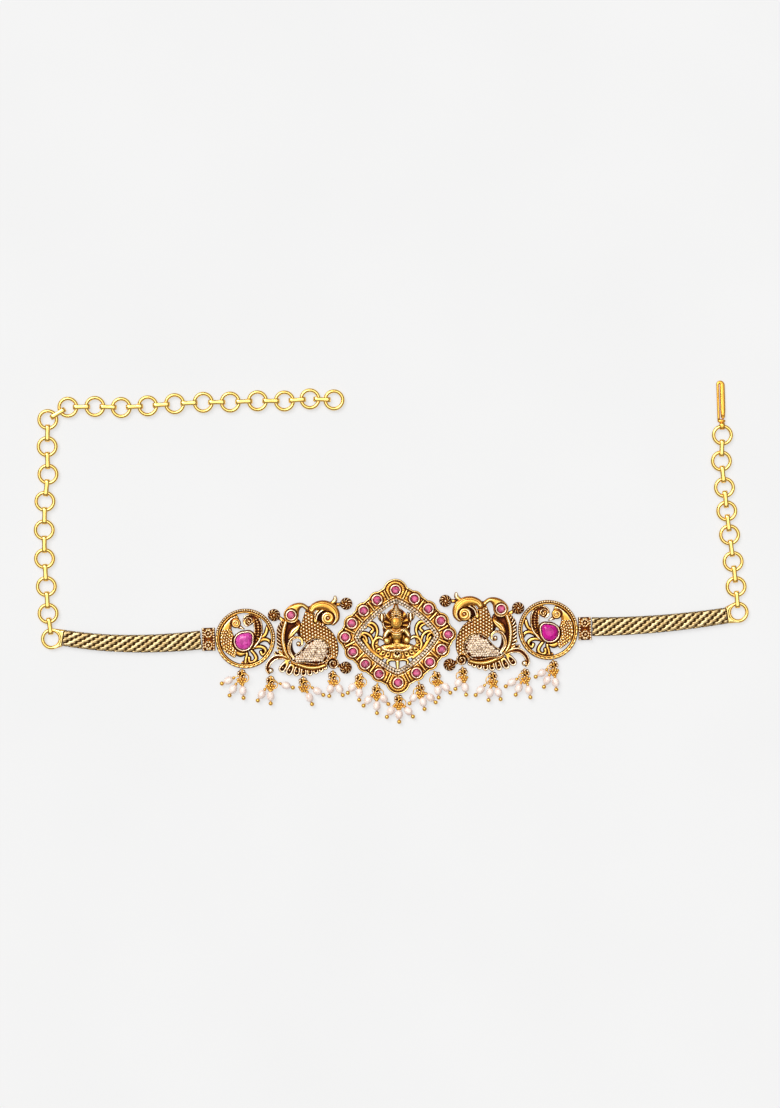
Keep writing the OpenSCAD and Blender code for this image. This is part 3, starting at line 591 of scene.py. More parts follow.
# %% Window scrolls and lotus
LOTUS = [[-6.0, -0.9, 1.4], [-6.6, -2.8, 2.1], [-5.2, -4.3, 2.7], [-2.9, -5.2, 3.3], [0, -5.6, 3.5]]
LOTUS_CURL = [[-3.9, -0.9, 0.6], [-5.2, -0.2, 0.9], [-6.6, -0.8, 1.0], [-7.3, -2.3, 1.0], [-6.9, -3.9, 0.8]]
WINDOW_SCROLLS = [
    [[-9.4, 3.0, 0.9], [-8.8, 3.8, 0.9], [-7.4, 4.2, 1.0], [-6.2, 3.2, 1.0], [-5.8, 1.5, 0.9],
     [-6.4, -0.4, 0.8]],
    [[-8.9, 3.7, 0.7], [-7.6, 3.1, 0.8], [-7.0, 2.2, 0.9], [-7.6, 1.4, 1.1]],
    [[-11.4, -0.4, 0.9], [-10.9, 0.6, 0.9], [-10.0, 1.3, 0.9], [-8.7, 1.0, 0.9], [-7.7, 0.0, 0.9],
     [-7.2, -1.6, 0.8]],
    [[-10.5, 0.9, 0.7], [-9.4, 0.1, 0.8], [-9.0, -1.2, 1.0]],
    [[-10.1, -0.5, 0.8], [-9.1, -2.0, 1.2], [-8.1, -3.6, 1.4], [-6.7, -5.0, 1.3], [-4.6, -6.6, 0.8]],
    [[-0.9, -7.0, 0.8], [-2.1, -7.0, 0.8], [-3.0, -7.5, 0.8], [-3.0, -8.2, 0.9]],
]
FIGURE_BACK = [[0, -4.4, 4], [0, -1.5, 6], [0, 2.5, 8.4], [0, 5.0, 6.8], [0, 7.5, 2.6], [0, 10.2, 0.9]]
SEAT_STEM = [[0, -6.8, 1.3], [0, -8.2, 1.4], [0, -10.2, 0.8]]
PETAL = 1.55                              # from petal to petal along the lotus

lace, left_half = (Relief((-12.4, -11.2), (12.4, 11.2), 0.11) for _ in range(2))
r, turn = lace.disc(0, 3.4)
flames = np.abs((turn * 13 / (2 * np.pi) + 0.05 * r) % 1 - 0.5) * 2
lace.lay(0.95 + 0.42 * flames, lace.along(FIGURE_BACK)[3], tint=-0.2)
for rows in WINDOW_SCROLLS:
    left_half.outlined(rows, 1.1, 1.9, -0.06)
offset, way, half, inside = left_half.along(LOTUS)
bowed = way + 0.9 * (offset / half) ** 2 * np.sign(-offset) + 0.2
tongue = np.abs(np.sin(np.pi * bowed / PETAL)) ** 0.4
left_half.lay(1.25 + 0.55 * tongue * dome(offset / half * 0.9), inside, tint=-0.02)
left_half.lay(1.35 + 0.5 * bell((offset + half - 0.2) / 0.16), np.minimum(inside, -offset - half + 0.42),
              tint=0.1)
bored = np.hypot(np.abs(bowed / PETAL % 1 - 0.5) * PETAL, offset + 0.1 * half)
left_half.lay(1.4, np.minimum(0.16 - bored, half - 0.95), True, -0.4)
left_half.outlined(LOTUS_CURL, 1.1, 2.0, -0.04)
H, S, T = (np.where(left_half.X <= 0.0, m, m[::-1]) for m in (left_half.H, left_half.S, left_half.T))
lace.lay(H, S, True, T)
lace.rounded(SEAT_STEM, 1.2, 2.0)
r, turn = lace.disc(0, -5.6)
lace.lay(1.5 + 0.5 * dome(r / 1.45) + 0.12 * np.cos(turn * 8) * dome(r / 1.4), 1.4 - r, True, 0.05)
for x, y in ((0, -5.5), (-0.5, -5.1), (0.5, -5.1)):
    lace.flat(x, y, 0.15, 1.6, tint=-0.3)
lace.S = np.minimum(lace.S, lace.oval(*WINDOW, WINDOW_P) + 0.15)
piece("medallion_lace", lace.arrays(roll=0.12), antique_gold, crease=CREASE)

# %% [markdown]
# ## Round stones
# Each round stone is cut with a flat table, a ring of twelve slanting facets and a ring of triangles
# down to its girdle. Flat shading keeps the facets crisp, and one small shape serves for all.

# %% Round stones
RUBY_D, FOOT_Z, GIRDLE_Z, TABLE_Z = 2.14, 1.6, 2.2, 2.75
CREST = (-31.5, 7.3)                      # the stone in the left peacock's crest


def cut_stone(sides, radius, low, girdle, table, table_share):
    """Facets between four rings: foot, girdle, a ring half a step round, and the table."""
    turn = np.arange(sides) * 2 * np.pi / sides
    levels = ((1.0, low, 0), (1.0, girdle, 0), (0.82, girdle + 0.55 * (table - girdle), np.pi / sides),
              (table_share, table, 0))
    rings = [np.column_stack([r * radius * np.cos(turn + shift), r * radius * np.sin(turn + shift),
                              0 * turn + z]) for r, z, shift in levels]
    k = np.arange(sides)
    (k, k2), (a, a2), (b, b2), (c, c2) = ((k + i * sides, np.roll(k, -1) + i * sides) for i in range(4))
    tris = np.concatenate([np.column_stack(t) for t in ((a, a2, b), (a2, b2, b), (b, c2, c), (b, b2, c2),
                                                        (0 * k + 4 * sides, k2, k))])
    return np.concatenate(rings + [[[0, 0, low]]]), [np.column_stack([k, k2, a2, a]), tris, c[None]]


ruby = cut_stone(12, RUBY_D / 2, FOOT_Z, GIRDLE_Z, TABLE_Z, 0.58)
rng = np.random.default_rng(7)
places = np.column_stack([stones, np.zeros(len(stones))])
piece("medallion_stones", repeated(ruby, places, rng.uniform(0, 1, len(stones))), ruby_glass,
      "medallion_rubies", smooth=False)
for side, x in (("left", CREST[0]), ("right", -CREST[0])):
    piece(f"peacock_{side}_stone", repeated(ruby, [[x, CREST[1], 0]], 0.2), ruby_glass,
          f"peacock_{side}_ruby", smooth=False)

# %% [markdown]
# ## Peacocks
# Each peacock looks inwards over its shoulder. The neck and chest are covered with grains of gold in
# rows, the arched neck and head are smooth, and the body is a drop of tiny stones in a gold rim. A
# comb of slanting ribs, a smooth ridge and a deep hollow follow its back, and a fringe of loops hangs
# under it. Dark swirls of petals join it to its neighbours.

# %% Peacock tables
BIRD_CHEST = [
    [-25.9, 8.7, 2.3], [-26.2, 5.1, 4.2], [-25.2, 2.0, 7.2], [-22.6, -0.2, 7.7],
    [-19.7, -2.5, 4.2], [-19.5, -5.3, 2.9], [-21.0, -7.2, 1.6],
]
BIRD_ARC = [
    [-25.3, 8.6, 1.9], [-24.4, 9.6, 2.3], [-22.4, 10.1, 2.7], [-20.2, 9.6, 2.8], [-18.5, 8.0, 2.7],
    [-18.1, 6.0, 2.2], [-19.0, 4.7, 1.8],
]
BIRD_BEAK = [[-21.5, 4.9, 1.4], [-22.5, 3.6, 0.3]]
BIRD_HEAD = (-20.5, 6.1)
BIRD_CREST = [[*CREST, 4.6], [-30.9, 8.6, 3.6], [-29.6, 9.8, 2.2], [-28.0, 10.1, 1.3], [-26.3, 8.8, 1.4]]
BIRD_COMB = [[-33.8, 5.3, 1.5], [-34.8, 3.2, 2.2], [-35.0, 0.8, 2.2], [-35.0, -1.9, 2.0], [-34.4, -4.3, 1.5]]
BIRD_RIDGE = [
    [-33.2, 5.3, 0.9], [-34.1, 2.2, 1.0], [-34.2, -0.8, 1.0], [-33.5, -3.9, 1.1],
    [-31.7, -6.3, 1.3], [-29.0, -7.9, 1.3], [-26.0, -8.7, 1.3], [-22.9, -8.4, 1.1], [-20.6, -7.3, 1.0],
]
BIRD_RECESS = [
    [-31.0, 5.2, 2.6], [-32.3, 2.2, 3.6], [-32.8, -0.9, 2.8], [-31.9, -4.4, 2.3], [-29.0, -6.6, 2.2],
]
BIRD_FLANK = [[-29.6, 5.4, 1.2], [-29.3, 3.8, 2.0], [-28.9, 2.0, 2.1], [-28.3, 0.6, 1.6]]
BIRD_LEAF = [[-28.9, 4.4, 0.3], [-29.8, 3.3, 1.4], [-30.9, 2.3, 1.8], [-31.8, 1.2, 1.2], [-32.4, 0.3, 0.3]]
BIRD_WING = [
    [-31.1, -5.6, 0.8], [-32.3, -3.8, 0.9], [-32.4, -1.8, 1.0], [-31.5, 0.0, 1.0], [-30.0, 0.6, 0.9],
    [-28.8, 0.1, 0.8], [-28.4, -1.0, 0.8], [-28.9, -1.8, 0.8], [-29.7, -1.6, 1.1],
]
BIRD_SPRAYS = [
    [[-33.3, -5.4, 1.0], [-34.9, -4.4, 1.6], [-36.7, -3.9, 0.8]],
    [[-33.2, -4.3, 1.0], [-34.4, -3.1, 1.5], [-35.9, -2.5, 0.7]],
]
BIRD_PAVE = [[-24.1, -3.8, 7.0], [-27.6, -5.1, 3.4], [-30.0, -5.8, 1.8], [-31.4, -5.7, 0.7]]
BIRD_HOOK = [
    [-32.6, -6.2, 0.9], [-34.6, -5.3, 1.4], [-36.8, -5.4, 1.6], [-38.5, -6.9, 1.5], [-39.1, -8.6, 1.4],
    [-38.7, -9.9, 0.9],
]
BIRD_LOOPS = [
    [-34.7, -8.8, 2.2], [-32.6, -9.7, 2.2], [-30.4, -10.1, 2.1], [-28.3, -10.3, 2.0],
    [-26.4, -10.2, 1.9], [-24.6, -9.8, 1.8], [-23.0, -9.3, 1.7], [-21.7, -8.7, 1.5],
]
BIRD_NECK = [[-24.3, 5.2, 0.9], [-23.9, 7.3, 1.2], [-22.5, 8.6, 1.2], [-20.9, 9.0, 0.8]]
BIRD_BAND = [
    [-31.6, -5.2, 0.6], [-29.6, -6.9, 1.0], [-26.8, -7.8, 1.2], [-23.8, -7.7, 1.2], [-21.2, -6.4, 1.0],
]
BIRD_TUFT = [[-19.4, 10.4, 1.2], [-18.3, 11.3, 1.4], [-18.2, 12.3, 0.9]]
HOOK_BALL, TAIL_SPIRAL = (-38.1, -9.2), (-19.3, -7.6)
ROSETTES = [(-36.7, 7.4, -33.6, 5.6), (-14.9, 10.2, -18.6, 10.0), (-15.6, -9.0, -18.6, -8.0)]
ROSETTE_R = 1.85                          # each rosette's place, and where its stalk starts
GRAIN_TURN = math.radians(-28)            # the rows of grains on the chest slope by this much
FRINGE_FOCUS = (-27.0, 1.5)               # the loops point away from here
print(len(BIRD_LOOPS), "loops in a fringe")


# %% Ornaments used on several castings
def swirl(relief, x, y, radius, petals, low, high):
    """A flower of curved petals: a wave round the circle that turns as it goes out, and a ball."""
    r, turn = relief.disc(x, y)
    wave = np.clip(np.cos(petals * (turn + 1.1 * r / radius)), 0, 1) ** 0.8
    relief.lay(low + (high - low) * wave * dome(r / radius * 0.95) ** 0.5, radius - r, True, -0.1)
    relief.stud(x, y, low, (high - low) * 0.95, 0.26 * radius, trim=0, tint=0.1)


def curl(relief, x, y, radius, turns, low, high, start):
    """A thread wound into a spiral: height is a wave of the distance less the share of a turn."""
    r, turn = relief.disc(x, y)
    phase = r * turns / radius - (turn - start) / (2 * np.pi)
    relief.lay(low + (high - low) * (0.5 + 0.5 * np.cos(2 * np.pi * phase)), radius - r, True)
    relief.stud(x, y, low, high - low, 0.42)


# %% Peacock back, fringe and chest
bird = Relief((-40.4, -12.6), (-12.6, 13.4), 0.114)
for x, y, rx, ry in ROSETTES:
    bird.rounded([[x, y, 1.2], [rx, ry, 1.2]], 0.9, 1.5)
offset, _, half, inside = bird.along(BIRD_RECESS)
x, y = bird.X, bird.Y
grit = 0.05 * np.cos(x * 9.1 + 2 * np.cos(y * 5.3)) * np.cos(y * 8.7 + 2 * np.cos(x * 4.9))
bird.lay(0.85 + 0.35 * np.clip(0.5 - 0.5 * offset / half, 0, 1) ** 2 + grit, inside, tint=-0.19)
offset, way, half, inside = bird.along(BIRD_FLANK)
barbs = np.cos(2 * np.pi * (way + 0.8 * np.abs(offset)) / 0.9)
bird.lay(1.0 + 0.3 * dome(offset / half) + 0.12 * barbs, inside, tint=-0.14)
offset, way, _, inside = bird.along(BIRD_COMB)
slant = np.cos(2 * np.pi * (way * 0.92 - offset * 0.7) / 0.92)
bird.lay(1.15 + 0.75 * np.clip(slant + 0.4, 0, 1) ** 0.7, inside, tint=0.06)
for rows in BIRD_SPRAYS:
    bird.rimmed(rows, 1.05, 1.7, 0.17)
for x, y, d in BIRD_LOOPS:
    out = np.array([x - FRINGE_FOCUS[0], y - FRINGE_FOCUS[1]])
    out = out / np.hypot(*out)
    a = -(bird.X - x) * out[1] + (bird.Y - y) * out[0]
    b = (bird.X - x) * out[0] + (bird.Y - y) * out[1]
    r = np.hypot(a, np.where(b > 0, b, b * 0.3))
    loop = 1.0 + 0.95 * mesa((r - d / 2 + 0.32) / 0.26) + 0.8 * bell(np.hypot(a * 1.7 + 0.12, b + 0.45) / 0.4)
    bird.lay(loop, np.minimum(d / 2 - r, b + 3.0), tint=-0.05)
bird.rimmed(BIRD_BAND, 1.2, 1.9, 0.22, tint=0.02)
offset, _, half, inside = bird.along(BIRD_RIDGE)
bird.lay(1.5 + 0.7 * dome(offset / half) - 0.16 * bell((inside - 0.3) / 0.12), inside, True, -0.1)

offset, _, half, inside = bird.along(BIRD_CHEST)
across = bird.X * math.cos(GRAIN_TURN) + bird.Y * math.sin(GRAIN_TURN)
down = -bird.X * math.sin(GRAIN_TURN) + bird.Y * math.cos(GRAIN_TURN)
# Painted shade: the chest grows darker towards both its sides, where its round back turns away from the
# light.
flank_shade = np.clip(np.abs(offset) / half - 0.6, 0, 0.4)
bird.lay(1.4 + 0.55 * dome(offset / half * 0.95) + 1.6 * balls(down, across, 1.0, 0.56), inside, True,
         -0.02 - 0.5 * flank_shade)


def body_top(depth):
    """Height of the bed of tiny stones at a depth inside their drop: a swelling that levels off."""
    return 1.62 + 0.95 * dome(1 - np.clip(depth / 2.6, 0, 1))


drop = bird.along(BIRD_PAVE)[3]
bird.lay(1.55 + 0.8 * dome((drop + 0.27) / 0.3), drop + 0.52, True, 0.06)
bird.lay(body_top(drop), drop, True, -0.3)
print("peacock map", bird.X.shape)

# %% Peacock wing, crest and head
offset, _, half, inside = bird.along(BIRD_LEAF)
vein = np.maximum(bell((inside - 0.1) / 0.12), bell(offset / 0.12))
bird.lay(1.6 + 0.4 * dome(offset / half) - 0.2 * vein, inside, True, 0.04 - 0.36 * vein)
bird.rimmed(BIRD_WING, 1.15, 2.1, 0.2, over=True)
bird.stud(-29.6, -1.3, 1.3, 1.0, 0.66, tint=0.1)
offset, _, half, inside = bird.along(BIRD_CREST)
bird.lay(1.75 + 0.65 * dome(offset / half) - 0.2 * bell((inside - 0.34) / 0.12), inside, True, -0.06)
setting(bird, *CREST)
r, _ = bird.disc(-21.2, 6.7)
bird.lay(1.05, np.minimum(3.1 - r, bird.Y - 3.9), tint=-0.36)
bird.rimmed(BIRD_NECK, 1.3, 2.2, 0.24, over=True, tint=-0.04)
offset, _, half, inside = bird.along(BIRD_ARC)
lines = 0.26 * bell((inside - 0.36) / 0.13) + 0.2 * bell((inside - 0.86) / 0.12) * (offset > 0)
bird.lay(2.0 + 0.75 * dome(offset / half) - lines, inside, True, -0.1)
bird.rounded(BIRD_BEAK, 1.8, 2.5, over=True, tint=0.05)
bird.flat(*BIRD_HEAD, 1.95, 1.8, tint=-0.3)
r, turn = bird.disc(*BIRD_HEAD)
coil = 0.26 * bell(((r / 0.8 - turn / (2 * np.pi) + 0.3) % 1 - 0.5) / 0.16)
bird.lay(2.05 + 0.65 * dome(r / 1.95) - coil * (r > 0.5), 1.8 - r, True, -0.02)
r, _ = bird.disc(BIRD_HEAD[0] + 0.1, BIRD_HEAD[1])
bird.lay(2.5 + 0.4 * dome(r / 0.36) - 0.3 * bell((r - 0.48) / 0.1), 0.6 - r, True)
bird.rimmed(BIRD_HOOK, 1.5, 1.95, 0.2, tint=0.04)
bird.stud(*HOOK_BALL, 1.2, 1.0, 0.85, trim=0.05, tint=0.08)
curl(bird, *TAIL_SPIRAL, 1.65, 1.9, 1.15, 2.1, start=2.0)
bird.rounded(BIRD_TUFT, 1.2, 2.2)
for x, y, *_ in ROSETTES:
    swirl(bird, x, y, ROSETTE_R, 9, 1.15, 2.15)
both_sides("peacock", bird.arrays(hollow=0.45))

# %% [markdown]
# ## Roundels
# A round bar, beaded along its upper half and engraved below, frames a small peacock. Its body is a
# pear-shaped stone in a plain bezel, its tail is a hatched band that ends in a curl, and thin scrolls
# fill the rest.

# %% Roundel tables
ROUNDEL_AT, ROUNDEL_R, BAR = (-45.5, 0.6), 9.0, 1.35
ROUNDEL_BIRD = [
    [-48.2, 6.4, 2.0], [-49.0, 6.9, 2.8], [-50.1, 6.3, 3.5], [-51.2, 4.8, 3.6], [-51.5, 2.8, 4.1],
    [-51.2, 0.8, 4.8], [-50.6, -0.8, 4.8], [-49.7, -2.6, 3.4], [-49.0, -4.4, 1.2],
]
ROUNDEL_HEAD = (-48.2, 5.3)
ROUNDEL_BEAK = [[-47.2, 4.2, 1.2], [-45.7, 3.5, 0.25]]
ROUNDEL_TAIL = [
    [-42.9, -1.4, 1.4], [-41.8, 0.9, 2.3], [-41.5, 3.1, 2.7], [-41.7, 5.2, 2.6], [-42.5, 6.8, 2.0],
    [-43.9, 7.3, 1.5], [-45.3, 6.8, 1.2], [-45.6, 5.6, 1.0], [-44.9, 4.7, 1.0], [-44.0, 5.1, 0.9],
]
TAIL_CURL = (-44.2, 5.8)
NECK_L, HATCH_L = 5.4, 8.5                # the smooth part of the bird's back, the hatched part of its tail
ROUNDEL_SCROLLS = [
    [[-43.4, -2.3, 0.8], [-41.9, -0.8, 1.0], [-40.1, 0.2, 1.1], [-38.6, -0.1, 1.0], [-37.8, -1.2, 0.9]],
    [[-43.4, -2.3, 0.8], [-41.3, -1.9, 1.0], [-39.8, -2.5, 1.1], [-39.4, -3.8, 1.0], [-40.4, -4.4, 0.9],
     [-40.9, -3.6, 1.0]],
    [[-44.0, -2.8, 0.8], [-42.9, -4.1, 1.0], [-42.4, -5.4, 1.1], [-43.2, -6.5, 1.0], [-44.4, -6.3, 0.9],
     [-44.5, -5.2, 1.0]],
    [[-45.5, -2.6, 0.9], [-45.1, -4.2, 0.9], [-45.5, -5.6, 0.9], [-45.7, -7.6, 1.0]],
    [[-48.6, -3.2, 1.3], [-47.0, -3.9, 1.7], [-45.6, -3.3, 1.1]],
    [[-41.4, 0.4, 0.9], [-39.6, 1.5, 1.0], [-38.9, 3.2, 1.1], [-38.6, 4.6, 0.6]],
    [[-50.6, 0.5, 2.0], [-47.6, -0.3, 2.0]],
]
PEAR_AT, PEAR_L, PEAR_W = (-46.0, -0.2), 5.4, 4.7
PEAR_TURN = math.radians(45)              # the stone's point leans right by this much
TIP_R = 1.15                              # radius of its rounded point
pear_reach = PEAR_L - PEAR_W / 2 - TIP_R
PEAR_ROWS = [[*PEAR_AT, PEAR_W], [PEAR_AT[0] + pear_reach * math.sin(PEAR_TURN),
                                  PEAR_AT[1] + pear_reach * math.cos(PEAR_TURN), 2 * TIP_R]]
print(len(ROUNDEL_SCROLLS), "scrolls in a roundel")

# %% Roundel casting
wheel = Relief((-55.0, -8.9), (-36.0, 10.1), 0.115)
for rows in ROUNDEL_SCROLLS:
    wheel.outlined(rows, 1.0, 1.8, -0.08)
offset, way, half, inside = wheel.along(ROUNDEL_BIRD)
smooth_neck = 1.5 + 0.55 * dome(offset / half) - 0.2 * bell((inside - 0.4) / 0.12)
feathers = 1.25 + 0.35 * dome(offset / half) + 1.5 * balls(way, offset, 0.82, 0.45)
neck = way < NECK_L
wheel.lay(np.where(neck, smooth_neck, feathers), inside, tint=np.where(neck, -0.02, -0.03))
wheel.rounded(ROUNDEL_BEAK, 1.3, 1.9, over=True, tint=0.05)
wheel.flat(*ROUNDEL_HEAD, 1.5, 1.6, tint=-0.1)
r, turn = wheel.disc(*ROUNDEL_HEAD)
coil = 0.24 * bell(((r / 0.62 - turn / (2 * np.pi)) % 1 - 0.5) / 0.17)
wheel.lay(1.65 + 0.5 * dome(r / 1.4) - coil, 1.34 - r, True, 0.02 - 1.2 * coil * (r > 0.4))
wheel.stud(*ROUNDEL_HEAD, 1.9, 0.35, 0.3)
offset, way, _, inside = wheel.along(ROUNDEL_TAIL)
hatch = 1.2 + 0.4 * np.cos(np.pi * (way + offset) / 0.8) * np.cos(np.pi * (way - offset) / 0.8)
edge_line = 1.15 + 0.85 * mesa((inside - 0.22) / 0.2)
wheel.lay(np.maximum(np.where(way < HATCH_L, hatch, 1.1), edge_line), inside,
          tint=np.where(inside < 0.45, 0.06, -0.14))
curl(wheel, *TAIL_CURL, 1.3, 1.9, 1.2, 2.0, start=-2.2)
r, turn = wheel.disc(-45.5, -7.3)
wheel.lay(1.2 + 0.4 * np.abs(np.cos(turn * 3.5)) * dome(r / 1.7) + 0.3 * bell((r - 0.5) / 0.2), 1.6 - r)
r, turn = wheel.disc(*ROUNDEL_AT)
middle = ROUNDEL_R - BAR / 2
wheel.S = np.minimum(wheel.S, middle - r)
pear = wheel.along(PEAR_ROWS, margin=1.2)[3]
wheel.lay(1.3, pear + 0.92, True, -0.34)
wheel.lay(1.4 + 0.85 * mesa((pear + 0.36) / 0.26), pear + 0.64, True, 0.2)
wheel.lay(1.4, pear - 0.05, True, -0.4)

bar = 1.15 + 0.8 * dome((r - middle) / (BAR / 2)) - 0.3 * bell((r - middle + 0.12) / 0.12)
beads = 1.35 + 1.5 * ball(0.4, to_nearest(turn * ROUNDEL_R, 0.74), r - middle - 0.28)
outer = r > middle - 0.1
cuts = bar - 0.2 * bell(((turn * ROUNDEL_R + 1.6 * (r - middle)) / 1.5 % 1 - 0.5) / 0.16) * outer
bar = np.where(np.sin(turn + 0.2) > 0.05, np.where(outer, beads, bar), cuts)
wheel.lay(bar, BAR / 2 - np.abs(r - middle), True, -0.08 - 0.36 * bell((r - middle + 0.16) / 0.16))
both_sides("roundel", wheel.arrays(roll=0.12, hollow=0.45))

# %% [markdown]
# The pear stones are cabochons. The outline is a large circle and a small one with the lines that
# touch both, and each ring of the surface is that outline, shrunk as it rises over a quarter circle.

# %% Pear stones
PEAR_FOOT, PEAR_GIRDLE, PEAR_RISE = 1.5, 2.05, 1.05
touch = math.acos((PEAR_W / 2 - TIP_R) / pear_reach)
big = np.linspace(math.pi / 2 + touch, math.pi * 5 / 2 - touch, 44)
small = np.linspace(math.pi / 2 - touch, math.pi / 2 + touch, 16)
outline = np.concatenate([PEAR_W / 2 * np.column_stack([np.cos(big), np.sin(big)]),
                          [0, pear_reach] + TIP_R * np.column_stack([np.cos(small), np.sin(small)])])
middle_point = np.array([0, 0.5])
lift = np.linspace(0, 1, 9)[1:-1] * math.pi / 2
shrink = np.concatenate([[0.97, 1.0], np.cos(lift)])[:, None, None]
level = np.concatenate([[PEAR_FOOT, PEAR_GIRDLE], PEAR_GIRDLE + PEAR_RISE * np.sin(lift)])[:, None, None]
rings = middle_point + (outline - middle_point) * shrink
rings = np.concatenate([rings, np.broadcast_to(level, (*rings.shape[:2], 1))], 2)
gem = closed(rings, [*middle_point, PEAR_FOOT], [*middle_point, PEAR_GIRDLE + PEAR_RISE])
gem = repeated(gem, [[*PEAR_AT, 0]], -PEAR_TURN)
piece("roundel_left_gem", gem, pink_stone, "roundel_left_stone")
piece("roundel_right_gem", mirrored(*gem), magenta_stone, "roundel_right_stone")

# %% [markdown]
# ## Collars
# The straps end in small boxes, each with two flowers of granules one above the other and a row of
# grains down either side.

# %% Collars
COLLAR_AT, COLLAR_L, COLLAR_W = np.array([-56.55, 0.7]), 3.9, 6.9
box = Relief(COLLAR_AT - [2.3, 3.8], COLLAR_AT + [2.3, 3.8], 0.09)
dx, dy = box.X - COLLAR_AT[0], box.Y - COLLAR_AT[1]
inside = np.minimum(COLLAR_L / 2 - np.abs(dx), COLLAR_W / 2 - np.abs(dy))
box.lay(1.35 - 0.25 * (dy / 3.45) ** 2, inside, tint=-0.02)
for x in (-1.6, 1.6):
    box.lay(1.35 + 1.6 * ball(0.4, dx - x, to_nearest(dy, 0.78)), np.minimum(inside, 0.42 - np.abs(dx - x)))
for side in (-1, 1):
    at = (COLLAR_AT[0], COLLAR_AT[1] + side * COLLAR_W / 4)
    r, turn = box.disc(*at)
    petal = (turn * 8 / (2 * np.pi)) % 1 - 0.5
    box.lay(1.5 + 1.7 * ball(0.4, petal * 2 * np.pi * 0.98 / 8, r - 0.98), 1.42 - r, tint=0.12)
    box.stud(*at, 1.6, 0.9, 0.46, tint=0.05)
both_sides("collar", box.arrays(roll=0.2, hollow=0.45))

# %% [markdown]
# ## Seated figure
# The seated figure is the highest relief of the armlet. Its body is a set of egg-shaped lumps and
# round limbs, softened together by a small blur of the map. The face is a calm one of plain
# proportions: eyes at half the height of the head, the mouth a third of the way below them.

# %% Figure
SEAT_Z, FIGURE_Z = 1.25, 4.25
figure = Relief((-6.2, -5.8), (6.2, 10.0), 0.075)
figure.H += SEAT_Z


def lump(x, y, rx, ry, low, high, over=False, tint=0.0):
    """Half an egg on the figure: a dome over an oval of half sizes rx, ry."""
    q = np.hypot((figure.X - x) / rx, (figure.Y - y) / ry)
    figure.lay(low + (high - low) * dome(q), (1 - q) * min(rx, ry), over, tint)


def soften(reach):
    """Blurs the figure's heights inside its outline."""
    figure.H = np.where(figure.S > 0, blur(figure.H, reach), figure.H)


figure.rounded([[0, 5.2, 3.7], [0, 6.2, 3.9], [0, 7.1, 3.0], [0, 8.0, 1.9], [0, 8.8, 1.0], [0, 9.5, 0.4]],
               1.9, 3.85)
figure.rounded([[-2.5, 1.7, 1.7], [0, 2.0, 2.2], [2.5, 1.7, 1.7]], 1.7, 3.25)
figure.rounded([[0, 2.0, 1.5], [0, 3.0, 1.3]], 2.0, 3.4)
lump(0, 0.8, 2.0, 2.4, 1.7, 3.5)
lump(0, -1.4, 1.4, 1.9, 1.6, 3.0)
LIMBS = [                                 # the left side's limbs, with their low and high levels
    ([[2.5, 1.8, 1.8], [3.4, 0.5, 1.7], [3.5, -0.7, 1.4], [2.9, -1.3, 1.2]], 1.7, 3.2),
    ([[2.4, 1.9, 0.9], [3.7, 3.0, 0.8], [4.2, 4.8, 0.8]], 1.5, 2.5),
    ([[0.4, -2.9, 1.9], [2.6, -2.9, 2.1], [4.2, -3.3, 1.8]], 1.7, 3.1),
    ([[4.1, -3.6, 1.3], [1.6, -4.2, 1.3], [-0.8, -3.9, 1.1]], 1.7, 3.3),
]
for side in (-1, 1):
    for rows, low, high in LIMBS:
        figure.rounded([[side * x, y, w] for x, y, w in rows], low, high)
soften(1.6)
for side in (-1, 1):
    lump(side * 3.0, -1.25, 1.05, 1.1, 2.5, 3.35, True, -0.08)
    x = side * 4.3
    for dx in (-0.75, 0.75, 0.0):
        figure.rounded([[x, 4.6, 0.7], [x + 0.6 * dx, 5.4, 1.25], [x + 0.9 * dx, 6.2, 1.2],
                        [x + 1.1 * dx, 7.1, 0.35]], 1.6, 2.6 - 0.3 * abs(dx), over=True, tint=0.02)
    lump(side * 1.75, 5.0, 0.5, 0.75, 2.2, 3.1)
    lump(side * 1.6, 3.6, 0.35, 0.5, 2.2, 3.1)
lump(0, 4.25, 1.6, 1.9, 3.35, FIGURE_Z - 0.1, True, -0.16)
soften(1.3)
print("figure map", figure.X.shape)

# %% [markdown]
# The crown's tiers, the strings of beads, the folds and the face are small waves and ridges added to
# the softened body.

# %% Crown, beads and face
EYE_Y, MOUTH_Y = 4.3, 3.32
X, Y, on = figure.X, figure.Y, figure.S > 0


def add(where, height):
    """Raises the figure there."""
    figure.H += np.where(where, height, 0)


tiers = 0.11 * np.cos(2 * np.pi * (Y - 0.25 * X ** 2) / 0.66)
studs = 0.10 * np.cos(2 * np.pi * X / 0.62)
add((Y > 5.75) & (np.abs(X) < 1.9) & on, tiers + studs * (Y < 8))
add(np.abs(X) < 1.7, 0.3 * bell((Y - 5.75 + 0.14 * X ** 2) / 0.16))
r, turn = figure.disc(0, 3.1)
for radius, grain in ((1.25, 0.2), (1.95, 0.24), (2.6, 0.2)):
    add((np.sin(turn) < -0.35) & on, 0.9 * ball(grain, to_nearest(turn * radius, 2.1 * grain), r - radius))
add((Y < -2.5) & on, 0.06 * np.cos(2 * np.pi * (Y + 0.12 * X ** 2) / 0.55))
add(np.abs(X) < 1.6, ball(0.2, to_nearest(X, 0.42), Y + 2.25 - 0.06 * X ** 2))

